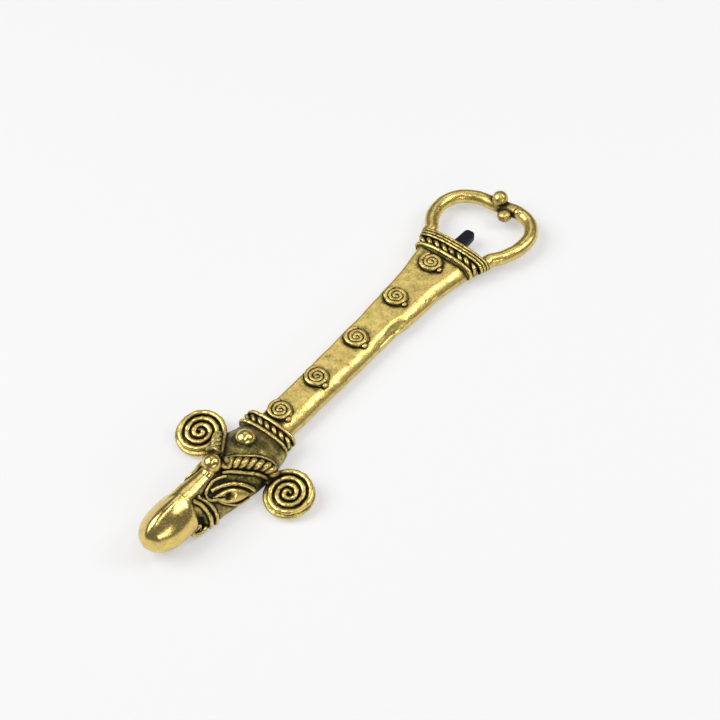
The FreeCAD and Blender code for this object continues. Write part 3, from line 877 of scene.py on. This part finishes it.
def press_flat(thing, ceiling, softness):
    """Rubs high points down towards a ceiling, as handling does."""
    for vertex in thing.data.vertices:
        over = vertex.co.z - ceiling
        if over > 0:
            vertex.co.z = ceiling + over * softness


# What is bound round each collar's core
COLLAR_BANDS = {
    "loop_collar_core": ("loop_collar_front_wire", "loop_collar_rope", "loop_collar_back_wire_1",
                         "loop_collar_back_wire_2", "loop_collar_back_wire_3"),
    "head_collar_core": ("head_collar_front_wire", "head_collar_rope", "head_collar_back_wire"),
}


class OPENER_OT_collars(Operator):
    """Builds the two bound collars: cores, wires and twisted ropes"""
    bl_idname = "opener.collars"
    bl_label = "Collars"

    def execute(self, context):
        settings = context.scene.opener_collar
        for node, bands in COLLAR_BANDS.items():
            core = collar_core(node, bands)
            rough_cast(core, 0.08 * MM, 2.5 * MM, 3)
            finish_piece(core, aged_brass(), [node])
        wires = [band for bands in COLLAR_BANDS.values() for band in bands if "wire" in band]
        for seed, node in enumerate(wires):
            low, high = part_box(node)
            radius = (high.x - low.x) / 2
            route = band_path(node, radius)
            finish_wire(lay_wire(node, route, True, radius, settings.wobble, seed), node)
        for node, turns in (("loop_collar_rope", settings.rope_turns),
                            ("head_collar_rope", settings.neck_turns)):
            low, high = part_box(node)
            strand = (high.x - low.x) * 0.27
            route = band_path(node, strand * 1.9)
            rope = lay_rope(node, route, True, turns, strand, strand, settings.wobble, 5)
            finish_wire(rope, node)
        return {"FINISHED"}


# The wax beads under the loop's knob: shift from it and radius (mm), and stretch
CLEFT_BEADS = (((-0.6, 0.1, -1.9), 1.7, (1, 1, 1)), ((-1.5, -1.0, -2.9), 1.5, (1, 1, 1)),
               ((-0.2, 1.6, -2.6), 1.5, (1, 1, 1)), ((-0.6, -2.2, -3.6), 2.4, (0.9, 1.3, 0.8)))
LOOP_THICKENING = 0.28 * MM


class OPENER_OT_loop(Operator):
    """Builds the heart-shaped loop with the two balls at its cleft"""
    bl_idname = "opener.loop"
    bl_label = "Loop"

    def execute(self, context):
        knob, knob_radius = ball_of("loop_knob")
        rest_low, rest_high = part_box("cap_rest_ball")
        rest = (rest_low + rest_high) / 2
        rest_radius = (rest_high.z - rest_low.z) / 2
        parts = [node_copy("opener_loop"), ball(knob, knob_radius * 1.12),
                 ball(rest + Vector((0.3, -0.2, 0.7)) * MM, rest_radius, (1.15, 1.15, 0.85)),
                 ball(rest + Vector((3.2, -4.0, 2.2)) * MM, 1.35 * MM)]
        parts += [ball(knob + Vector(shift) * MM, radius * MM, stretch)
                  for shift, radius, stretch in CLEFT_BEADS]
        loop = cast("opener_loop", parts, context.scene.opener_head.voxel, 8)
        push_out(loop, lambda place, normal: LOOP_THICKENING)
        for vertex in loop.data.vertices:
            if vertex.co.y > 0:
                near = math.exp(-((vertex.co.x - rest_low.x + 20 * MM) / (8 * MM)) ** 2)
                vertex.co.y += 0.7 * MM * near
        rough_cast(loop, 0.13 * MM, 5.0 * MM, 2)
        rough_cast(loop, 0.018 * MM, 1.2 * MM, 4)
        store(loop.data, "age", np.array([
            0.42 * math.exp(-((v.co - rest).length / (3.2 * MM)) ** 2)
            + 0.16 * math.exp(-((v.co - knob).length / (7 * MM)) ** 2)
            for v in loop.data.vertices]))
        finish_piece(loop, rubbed_brass(),
                     ["opener_loop", "loop_knob", "cap_rest_ball"])
        return {"FINISHED"}


class OPENER_OT_tooth(Operator):
    """Builds the blackened steel tooth that lifts a cap"""
    bl_idname = "opener.tooth"
    bl_label = "Tooth"

    def execute(self, context):
        low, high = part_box("cap_tooth")
        middle = (low + high) / 2
        steps = 90
        rings = []
        for step in range(steps + 1):
            share = step / steps
            x = low.x + (high.x - low.x) * share
            taper = 1 - 0.26 * share
            end = max(0.0, (share - 0.9) / 0.1)
            shrink = math.sqrt(max(0.0, 1 - (end * 0.8) ** 2))
            groove = 0.06 * MM * math.cos((high.x - x) / (0.95 * MM) * 2 * math.pi)
            cut = -abs(groove) if share > 0.5 else 0
            half_width = (high.y - low.y) / 2 * 1.06 * taper * shrink + cut
            half_height = (high.z - low.z) / 2 * (0.55 + 0.45 * shrink) + cut
            outline = rounded_rectangle(half_width, half_height, 0.75 * MM * shrink, 64)
            rings.append([Vector((x, middle.y + y, middle.z + z)) for y, z in outline])
        tooth = closed_tube("cap_tooth", rings)
        rough_cast(tooth, 0.03 * MM, 1.5 * MM, 8)
        finish_piece(tooth, black_steel(), ["cap_tooth"])
        return {"FINISHED"}


# Head

HEAD_AXIS_HEIGHT = 4.0 * MM


class HeadSkin:
    """Finds points on the head's surface, by place along it and angle from the top."""

    def __init__(self, thing):
        self.tree = BVHTree.FromPolygons([v.co for v in thing.data.vertices],
                                         [p.vertices for p in thing.data.polygons])

    def at(self, x, degrees, lift=0.0):
        angle = math.radians(degrees)
        spoke = Vector((0, math.sin(angle), math.cos(angle)))
        axis = Vector((x, 0, HEAD_AXIS_HEIGHT))
        point, normal, _, _ = self.tree.ray_cast(axis + spoke * 0.04, -spoke)
        if point is None:
            raise RuntimeError("no head surface at x %.4f, %g degrees" % (x, degrees))
        return point + normal * lift, normal

    def route(self, stops, sign, lift):
        points = [self.at(x * MM, sign * degrees, lift)[0] for x, degrees in stops]
        line = smooth_route(points)
        shaped = []
        for point in line:
            nearest, normal, _, _ = self.tree.find_nearest(point)
            shaped.append(nearest + normal * lift)
        return shaped


def bump_at(place, spot, reach):
    gap = Vector((a - b) / r for a, b, r in zip(place, spot, reach))
    return math.exp(-gap.length_squared)


# The head's shape: place along it, half width, top (mm), and how peaked it is from 0 to 1
HEAD_SECTIONS = (
    (-39.8, 9.2, 8.6, 0.0), (-43.0, 9.8, 10.2, 0.0), (-48.0, 11.0, 12.2, 0.0),
    (-52.0, 11.0, 13.0, 0.1), (-55.5, 10.7, 13.3, 0.35), (-59.5, 9.9, 13.5, 0.7),
    (-63.5, 9.1, 13.6, 0.9), (-70.5, 7.8, 13.2, 1.0), (-75.5, 6.9, 12.4, 1.0),
    (-79.0, 6.0, 11.5, 1.0),
)
HEAD_WAIST = 3.6
HEAD_LEAN = -0.9
RIDGE_LEAN = 0.35
# The nose ridge: place along the head, height of its middle and radius (mm)
RIDGE = ((-60.5, 11.6, 2.6), (-65.0, 11.7, 3.1), (-71.0, 11.4, 3.6), (-77.0, 11.1, 4.35),
         (-83.0, 10.4, 4.7), (-87.0, 9.4, 4.6))


def between(rows, place):
    """The row of a table at a place between its entries."""
    for first, second in zip(rows, rows[1:]):
        if place >= second[0]:
            break
    share = min(1.0, max(0.0, (place - first[0]) / (second[0] - first[0])))
    share = share * share * (3 - 2 * share) * 0.5 + share * 0.5
    return [a + (b - a) * share for a, b in zip(first, second)]


def head_block():
    """The head without its ornaments: an arch that gets peaked towards the muzzle."""
    rings = []
    for step in range(101):
        x = HEAD_SECTIONS[0][0] + (HEAD_SECTIONS[-1][0] - HEAD_SECTIONS[0][0]) * step / 100
        _, half_width, top, peak = between(HEAD_SECTIONS, x)
        bow, drop = 2.0 - 0.45 * peak, 0.5 + 0.33 * peak
        ring = []
        for index in range(96):
            angle = 2 * math.pi * index / 96
            rise, side = math.sin(angle), math.copysign(1, math.cos(angle))
            if rise >= 0:
                y = half_width * max(0.0, 1 - rise ** bow) ** drop
                z = HEAD_WAIST + (top - HEAD_WAIST) * rise
            else:
                y = half_width * max(0.0, 1 - abs(rise) ** 3.6) ** 0.28
                z = HEAD_WAIST * (1 + rise)
            lean = HEAD_LEAN * (1.35 if x < -66 else 1.0 + 0.35 * max(0.0, (-58 - x) / 8))
            ring.append(Vector((x, y * side + lean, z)) * MM)
        rings.append(ring)
    return closed_tube("head_block", rings)


def ridge_block():
    rings = []
    for step in range(61):
        x = RIDGE[0][0] + (RIDGE[-1][0] - RIDGE[0][0]) * step / 60
        _, height, radius = between(RIDGE, x)
        rings.append([Vector((x, RIDGE_LEAN + radius * math.cos(a),
                              height + radius * 0.97 * math.sin(a))) * MM
                      for a in (2 * math.pi * i / 48 for i in range(48))])
    return closed_tube("ridge_block", rings)


def snout_block(middle, length, radius):
    """A long egg, blunt behind and narrower on top than below."""
    rings = []
    for step in range(121):
        u = -math.cos(math.pi * step / 120)
        bluntness = 2.55 if u > 0 else 2.15
        wide = max(0.0, 1 - abs(u) ** bluntness) ** (1 / bluntness) * radius + 1e-6
        ring = []
        for index in range(96):
            angle = 2 * math.pi * index / 96
            y, z = math.cos(angle) * wide, math.sin(angle) * wide
            rise = max(0.0, z / radius + 0.15)
            y *= 1 - (0.34 if y > 0 else 0.22) * rise ** 1.3
            ring.append(middle + Vector((u * length, y, z)))
        rings.append(ring)
    return closed_tube("snout_block", rings)


class OPENER_OT_head(Operator):
    """Builds the animal's head with its nose ridge, snout, brow ball and crown stud"""
    bl_idname = "opener.head"
    bl_label = "Head"

    def execute(self, context):
        settings = context.scene.opener_head
        low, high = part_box("snout_knob")
        radius = (high.z - low.z) / 2
        length = settings.snout_length
        snout = Vector((low.x + length, 0, radius))
        brow_ball, brow_radius = ball_of("forehead_ball")
        stud, stud_radius = ball_of("crown_stud")
        parts = [head_block(), ridge_block(), snout_block(snout, length, radius),
                 ball(brow_ball + Vector((0, 0.5, -0.2)) * MM, brow_radius * 1.12),
                 ball(brow_ball + Vector((-2.2, 0, -1.9)) * MM, 2.3 * MM, (1.5, 1, 1)),
                 ball(stud + Vector((0, 0, 0.5)) * MM, stud_radius * 1.02, (1, 1, 0.85))]
        head = cast("head", parts, settings.voxel, 6)
        push_out(head, lambda place, normal: self.push(place, normal, settings))
        for vertex in head.data.vertices:
            vertex.co.z = max(vertex.co.z, 0.0)
        store(head.data, "age", np.array([self.age(v.co / MM) for v in head.data.vertices]))
        finish_piece(head, aged_brass(),
                     ["head_core", "nose_bridge", "snout_knob", "forehead_ball", "crown_stud"])
        return {"FINISHED"}

    def age(self, place):
        """The snout, the ridge and the balls are rubbed; the crown and the cheeks are not."""
        if place.x > -58:
            return 0.05 if place.z > 13.5 else 0.40
        rubbed = max(math.exp(-((place.y - 0.2) / 3.2) ** 4) if place.z > 11 else 0.0,
                     1 / (1 + math.exp((place.x + 77.5) * 2)))
        return 0.34 * (1 - rubbed)

    def push(self, place, normal, settings):
        """How far a point of the casting is moved out along its normal."""
        mirrored = Vector((place.x, abs(place.y), place.z)) / MM
        if mirrored.z < 0.3:
            return 0.0
        socket = bump_at(mirrored, (-63.5, 8.0, 7.5), (8.0, 4.0, 3.6))
        groove = bump_at(mirrored, (-77.2, 7.0, 6.0), (1.25, 4.0, 6.0))
        mouth = bump_at(mirrored, (-79.3, 7.0, 2.6), (2.4, 3.0, 1.0))
        keel = math.exp(-(mirrored.y / 1.6) ** 2) if mirrored.x < -78 and normal.z > -0.2 else 0
        rough = 0.08 * noise.noise(place * 230)
        if self.age(place / MM) > 0.2:
            rough += 0.08 * noise.noise(place * 800)
        move = 0.3 * keel + rough - 1.7 * groove - 1.0 * mouth
        return move * MM - settings.socket_depth * socket


# Stops of the face's wires: place along the head (mm) and degrees from its top
BROW_ROPE = ((-61.2, 10), (-57.3, 25), (-53.6, 46), (-50.6, 66), (-49.2, 84), (-49.0, 94))
BROW_WIRES = {
    "upper": ((-59.2, 3), (-56.2, 15), (-53.2, 30), (-50.0, 48), (-47.9, 66), (-47.2, 84)),
    "lower": ((-63.0, 20), (-61.0, 26), (-57.6, 46), (-54.0, 66), (-52.0, 82), (-51.6, 92)),
}
LID = ((-69.6, 30), (-68.2, 32), (-65.6, 38), (-62.4, 50), (-59.9, 65), (-58.0, 80), (-57.2, 88))
UNDER_LID = ((-70.2, 42), (-69.4, 57), (-67.0, 80), (-63.6, 95), (-59.6, 98))
EYE_CORNER = ((-69.4, 54), (-71.2, 46), (-71.9, 36), (-71.3, 26), (-69.3, 20), (-66.6, 19),
              (-64.2, 24), (-62.6, 30))
# The left wires of the noseband start lower, under the ridge
NOSEBAND_START = {"left": ((-72.8, 44), (-72.4, 50)), "right": ((-74.6, 20), (-73.0, 36))}
NOSEBAND_END = ((-72.1, 60), (-72.3, 86), (-72.9, 106))
NOSEBAND_GAP = 2.1
# A lip's curl, from the middle of its place (mm)
LIP_CURL = ((2.6, 1.1, -1.2), (0.6, 1.35, -1.5), (-1.7, 0.8, -1.1), (-2.6, 0.1, 0.1),
            (-1.4, 0.35, 1.3), (0.6, 0.75, 1.4))


class OPENER_OT_brows(Operator):
    """Builds the brows: a twisted rope between two wires on each side"""
    bl_idname = "opener.brows"
    bl_label = "Brows"

    def execute(self, context):
        settings = context.scene.opener_head
        skin = HeadSkin(bpy.data.objects["head_cast"])
        strand = 1.08 * MM
        for side, sign in SIDES:
            node = "brow_rope_" + side
            rope = lay_rope(node, skin.route(BROW_ROPE, sign, 0.75 * MM), False,
                            settings.rope_turns * sign, strand, strand * 0.85, 0.18 * MM, 3 + sign)
            finish_wire(rope, node)
            for place, stops in BROW_WIRES.items():
                node = "brow_%s_wire_%s" % (place, side)
                wire = lay_wire(node, skin.route(stops, sign, 0.35 * MM), False, 0.66 * MM,
                                0.15 * MM, 6 + sign)
                finish_wire(wire, node)
        return {"FINISHED"}


class OPENER_OT_eyes(Operator):
    """Builds the almond eyes with their drilled pupils and lid wires"""
    bl_idname = "opener.eyes"
    bl_label = "Eyes"

    def execute(self, context):
        skin = HeadSkin(bpy.data.objects["head_cast"])
        for side, sign in SIDES:
            inner, _ = skin.at(-70.0 * MM, sign * 44)
            outer, _ = skin.at(-58.6 * MM, sign * 88)
            middle, normal = skin.at(-64.8 * MM, sign * 70)
            eye = almond((inner + outer) / 2 * 0.35 + middle * 0.65, outer - inner, normal,
                         2.6 * MM, 1.35 * MM)
            under = lay_wire("under_lid", skin.route(UNDER_LID, sign, 0.25 * MM), False,
                             0.42 * MM, 0.1 * MM, 2)
            corner = lay_wire("corner", skin.route(EYE_CORNER, sign, 0.3 * MM), False,
                              0.58 * MM, 0.12 * MM, 7)
            finish_wire(join("eye_" + side, [eye, under, corner]), "eye_" + side)
            node = "eyelid_wire_" + side
            lid = lay_wire(node, skin.route(LID, sign, 0.5 * MM), False, 0.62 * MM, 0.12 * MM, 4)
            finish_wire(lid, node)
        return {"FINISHED"}


def almond(middle, along, outward, half_height, bulge):
    """A pointed, domed lens with a drilled hollow, closed underneath."""
    length = along.length / 2
    along = along.normalized()
    across = outward.cross(along).normalized()
    out = along.cross(across)
    columns, rows = 72, 32
    vertices, faces = [], []
    for layer in (0, 1):
        for column in range(columns + 1):
            u = -1 + 2 * column / columns
            half = half_height * (1 - abs(u) ** 2.0) ** 0.85
            for row in range(rows + 1):
                v = -1 + 2 * row / rows
                dome = bulge * math.sqrt(max(0.0, (1 - v * v) * (1 - u ** 4)))
                hole = math.exp(-(((u + 0.16) / 0.2) ** 2 + (v / 0.46) ** 4))
                slit = 0.55 * math.exp(-(((u + 0.5) / 0.35) ** 4 + (v / 0.13) ** 2))
                rise = dome - 1.6 * MM * max(hole, slit) if layer == 0 else -1.6 * MM
                vertices.append(middle + along * (u * length) + across * (v * half) + out * rise)
    size = (columns + 1) * (rows + 1)
    for layer in (0, 1):
        for column in range(columns):
            for row in range(rows):
                first = layer * size + column * (rows + 1) + row
                quad = (first, first + rows + 1, first + rows + 2, first + 1)
                faces.append(quad if layer == 0 else quad[::-1])
    for row in (0, rows):
        for column in range(columns):
            first = column * (rows + 1) + row
            quad = (first, first + rows + 1, size + first + rows + 1, size + first)
            faces.append(quad if row else quad[::-1])
    for column in (0, columns):
        for row in range(rows):
            first = column * (rows + 1) + row
            quad = (first, first + 1, size + first + 1, size + first)
            faces.append(quad[::-1] if column else quad)
    return solid("eye", vertices, faces)


class OPENER_OT_muzzle(Operator):
    """Builds the noseband's wires and the curled lips"""
    bl_idname = "opener.muzzle"
    bl_label = "Noseband and lips"

    def execute(self, context):
        skin = HeadSkin(bpy.data.objects["head_cast"])
        for side, sign in SIDES:
            for number in (1, 2):
                node = "noseband_wire_%s_%d" % (side, number)
                stops = [(x - NOSEBAND_GAP * (number - 1), turn)
                         for x, turn in NOSEBAND_START[side] + NOSEBAND_END]
                wire = lay_wire(node, skin.route(stops, sign, 0.3 * MM), False, 0.72 * MM,
                                0.14 * MM, number)
                finish_wire(wire, node)
            node = "lip_" + side
            low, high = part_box(node)
            middle = (low + high) / 2
            route = [middle + Vector((x, y * sign, z)) * MM for x, y, z in LIP_CURL]
            lip = lay_wire(node, smooth_route(route), False, 0.78 * MM, 0.1 * MM, 9)
            finish_wire(lip, node)
        return {"FINISHED"}


# Patina and wear, stored on the meshes

def neighbour_mean(mesh, values):
    """Each point's mean of a value over its neighbours."""
    edges = np.empty(len(mesh.edges) * 2, dtype=np.int64)
    mesh.edges.foreach_get("vertices", edges)
    first, second = edges[0::2], edges[1::2]
    total = np.zeros_like(values)
    count = np.zeros(len(values))
    for a, b in ((first, second), (second, first)):
        np.add.at(total, a, values[b])
        np.add.at(count, a, 1)
    count = np.maximum(count, 1)
    return total / (count[:, None] if values.ndim == 2 else count)


def softened(mesh, values):
    for _ in range(2):
        values = 0.5 * values + 0.5 * neighbour_mean(mesh, values)
    return values


def exposed(mesh):
    """How far each point stands out from its neighbours, from 0 to 1."""
    coordinates = np.empty(len(mesh.vertices) * 3)
    mesh.vertices.foreach_get("co", coordinates)
    coordinates = coordinates.reshape(-1, 3)
    normals = np.array([vertex.normal for vertex in mesh.vertices])
    lift = np.einsum("ij,ij->i", coordinates - neighbour_mean(mesh, coordinates), normals)
    return np.clip(lift / (0.06 * MM), 0, 1)


def sphere_directions(count):
    """Directions spread evenly over a sphere."""
    golden = math.pi * (3 - math.sqrt(5))
    directions = []
    for index in range(count):
        height = 1 - 2 * (index + 0.5) / count
        ring = math.sqrt(1 - height * height)
        directions.append(Vector((math.cos(golden * index) * ring,
                                  math.sin(golden * index) * ring, height)))
    return directions


class OPENER_OT_patina(Operator):
    """Finds the deep and the exposed places, for the patina and the polish"""
    bl_idname = "opener.patina"
    bl_label = "Patina"

    def execute(self, context):
        reach = context.scene.opener_finish.reach
        pieces = [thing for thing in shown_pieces() if thing.type == "MESH"]
        points, polygons = [], []
        for thing in pieces:
            start = len(points)
            points.extend(vertex.co for vertex in thing.data.vertices)
            polygons.extend([start + i for i in p.vertices] for p in thing.data.polygons)
        tree = BVHTree.FromPolygons(points, polygons)
        directions = sphere_directions(34)
        for thing in pieces:
            mesh = thing.data
            deep = np.array([covered(tree, vertex, directions, reach)
                             for vertex in mesh.vertices])
            store(mesh, "patina", softened(mesh, deep))
            store(mesh, "wear", softened(mesh, exposed(mesh)))
        return {"FINISHED"}


def covered(tree, vertex, directions, reach):
    """How much of the space in front of a point is filled nearby, from 0 to 1."""
    normal = vertex.normal
    start = vertex.co + normal * 0.06 * MM
    hit, total = 0.0, 0.0
    for direction in directions:
        facing = direction.dot(normal)
        if facing < 0.08:
            continue
        total += facing
        distance = tree.ray_cast(start, direction, reach)[3]
        if distance is not None:
            hit += facing * (1 - 0.6 * distance / reach)
    return min(1.0, hit / total * 2.3)


def store(mesh, name, values):
    attribute = mesh.attributes.get(name) or mesh.attributes.new(name, "FLOAT", "POINT")
    attribute.data.foreach_set("value", values.astype(np.float32))


# Stage

# Name, place, what it points at, width, length (m) and power (W)
LIGHTS = (("key", (-0.62, 0.80, 1.08), (0, 0, 0), 1.10, 1.10, 19.0),
          ("strip", (0.05, -0.25, 1.00), (0, 0, 0), 1.30, 0.15, 2.5),
          ("side", (0.44, -0.44, 0.60), (0, 0, 0), 0.34, 0.34, 2.0),
          ("fill", (0.42, 0.33, 0.70), (0, 0, 0), 0.46, 0.46, 0.66),
          ("front", (-0.37, -0.78, 0.35), (-0.08, 0, 0.01), 0.62, 0.14, 1.25))
FLOOR_GLOW = 0.43
SKY_GLOW = 0.185


def area_light(name, place, aim, width, length, power):
    data = bpy.data.lights.new(name, "AREA")
    data.shape = "RECTANGLE"
    data.size = width
    data.size_y = length
    data.energy = power
    lamp = bpy.data.objects.new(name, data)
    lamp.location = place
    lamp.rotation_euler = (Vector(aim) - Vector(place)).to_track_quat("-Z", "Y").to_euler()
    bpy.context.scene.collection.objects.link(lamp)


class OPENER_OT_stage(Operator):
    """Builds the pale floor, the soft lights and the camera"""
    bl_idname = "opener.stage"
    bl_label = "Stage"

    def execute(self, context):
        settings = context.scene.opener_stage
        floor = mesh_object("floor", [(-3, -3, 0), (3, -3, 0), (3, 3, 0), (-3, 3, 0)],
                            [(0, 1, 2, 3)])
        shader = Shader("pale_floor")
        shader.plug("Base Color", (0.42, 0.42, 0.423, 1))
        shader.plug("Emission Color", (1, 1, 1, 1))
        shader.plug("Emission Strength", FLOOR_GLOW)
        shader.plug("Roughness", 0.75)
        shader.plug("Specular IOR Level", 0.2)
        floor.data.materials.append(shader.material)
        floor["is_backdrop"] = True
        world = bpy.data.worlds.new("studio")
        world.use_nodes = True
        sky = world.node_tree.nodes["Background"].inputs
        sky[0].default_value = (1, 1, 1, 1)
        sky[1].default_value = SKY_GLOW
        context.scene.world = world
        for light in LIGHTS:
            area_light(*light)
        context.scene.view_settings.view_transform = "Standard"
        self.camera(context, settings)
        return {"FINISHED"}

    def camera(self, context, settings):
        azimuth, elevation = settings.azimuth, settings.elevation
        back = Vector((math.sin(azimuth) * math.cos(elevation),
                       -math.cos(azimuth) * math.cos(elevation), math.sin(elevation)))
        right = Vector((math.cos(azimuth), math.sin(azimuth), 0))
        up = back.cross(right)
        aim = Vector((1.5, 0, 5)) * MM + right * 5.8 * MM - up * 0.47 * MM
        data = bpy.data.cameras.new("camera")
        data.lens = settings.lens
        data.clip_start = 0.01
        camera = bpy.data.objects.new("camera", data)
        camera.matrix_world = Matrix((
            (right.x, up.x, back.x, aim.x + back.x * settings.distance),
            (right.y, up.y, back.y, aim.y + back.y * settings.distance),
            (right.z, up.z, back.z, aim.z + back.z * settings.distance),
            (0, 0, 0, 1)))
        context.scene.collection.objects.link(camera)
        context.scene.camera = camera


STEPS = (OPENER_OT_stage, OPENER_OT_handle, OPENER_OT_rosettes, OPENER_OT_collars,
         OPENER_OT_loop, OPENER_OT_tooth, OPENER_OT_head, OPENER_OT_ears, OPENER_OT_brows,
         OPENER_OT_eyes, OPENER_OT_muzzle, OPENER_OT_patina)
SETTINGS = {
    "opener_handle": HandleSettings, "opener_collar": CollarSettings,
    "opener_coil": CoilSettings, "opener_head": HeadSettings,
    "opener_finish": FinishSettings, "opener_stage": StageSettings,
}


class OPENER_PT_panel(Panel):
    """Lists the opener's pieces"""
    bl_idname = "OPENER_PT_panel"
    bl_label = "Bottle opener"
    bl_space_type = "VIEW_3D"
    bl_region_type = "UI"
    bl_category = "Opener"

    def draw(self, context):
        for step in STEPS:
            self.layout.operator(step.bl_idname)


def register():
    for name, group in SETTINGS.items():
        bpy.utils.register_class(group)
        setattr(bpy.types.Scene, name, PointerProperty(type=group))
    for step in STEPS:
        bpy.utils.register_class(step)
    bpy.utils.register_class(OPENER_PT_panel)


def unregister():
    bpy.utils.unregister_class(OPENER_PT_panel)
    for step in reversed(STEPS):
        bpy.utils.unregister_class(step)
    for name, group in SETTINGS.items():
        delattr(bpy.types.Scene, name)
        bpy.utils.unregister_class(group)


def main():
    register()
    for step in STEPS:
        group, name = step.bl_idname.split(".")
        getattr(getattr(bpy.ops, group), name)()


if __name__ == "__main__":
    main()
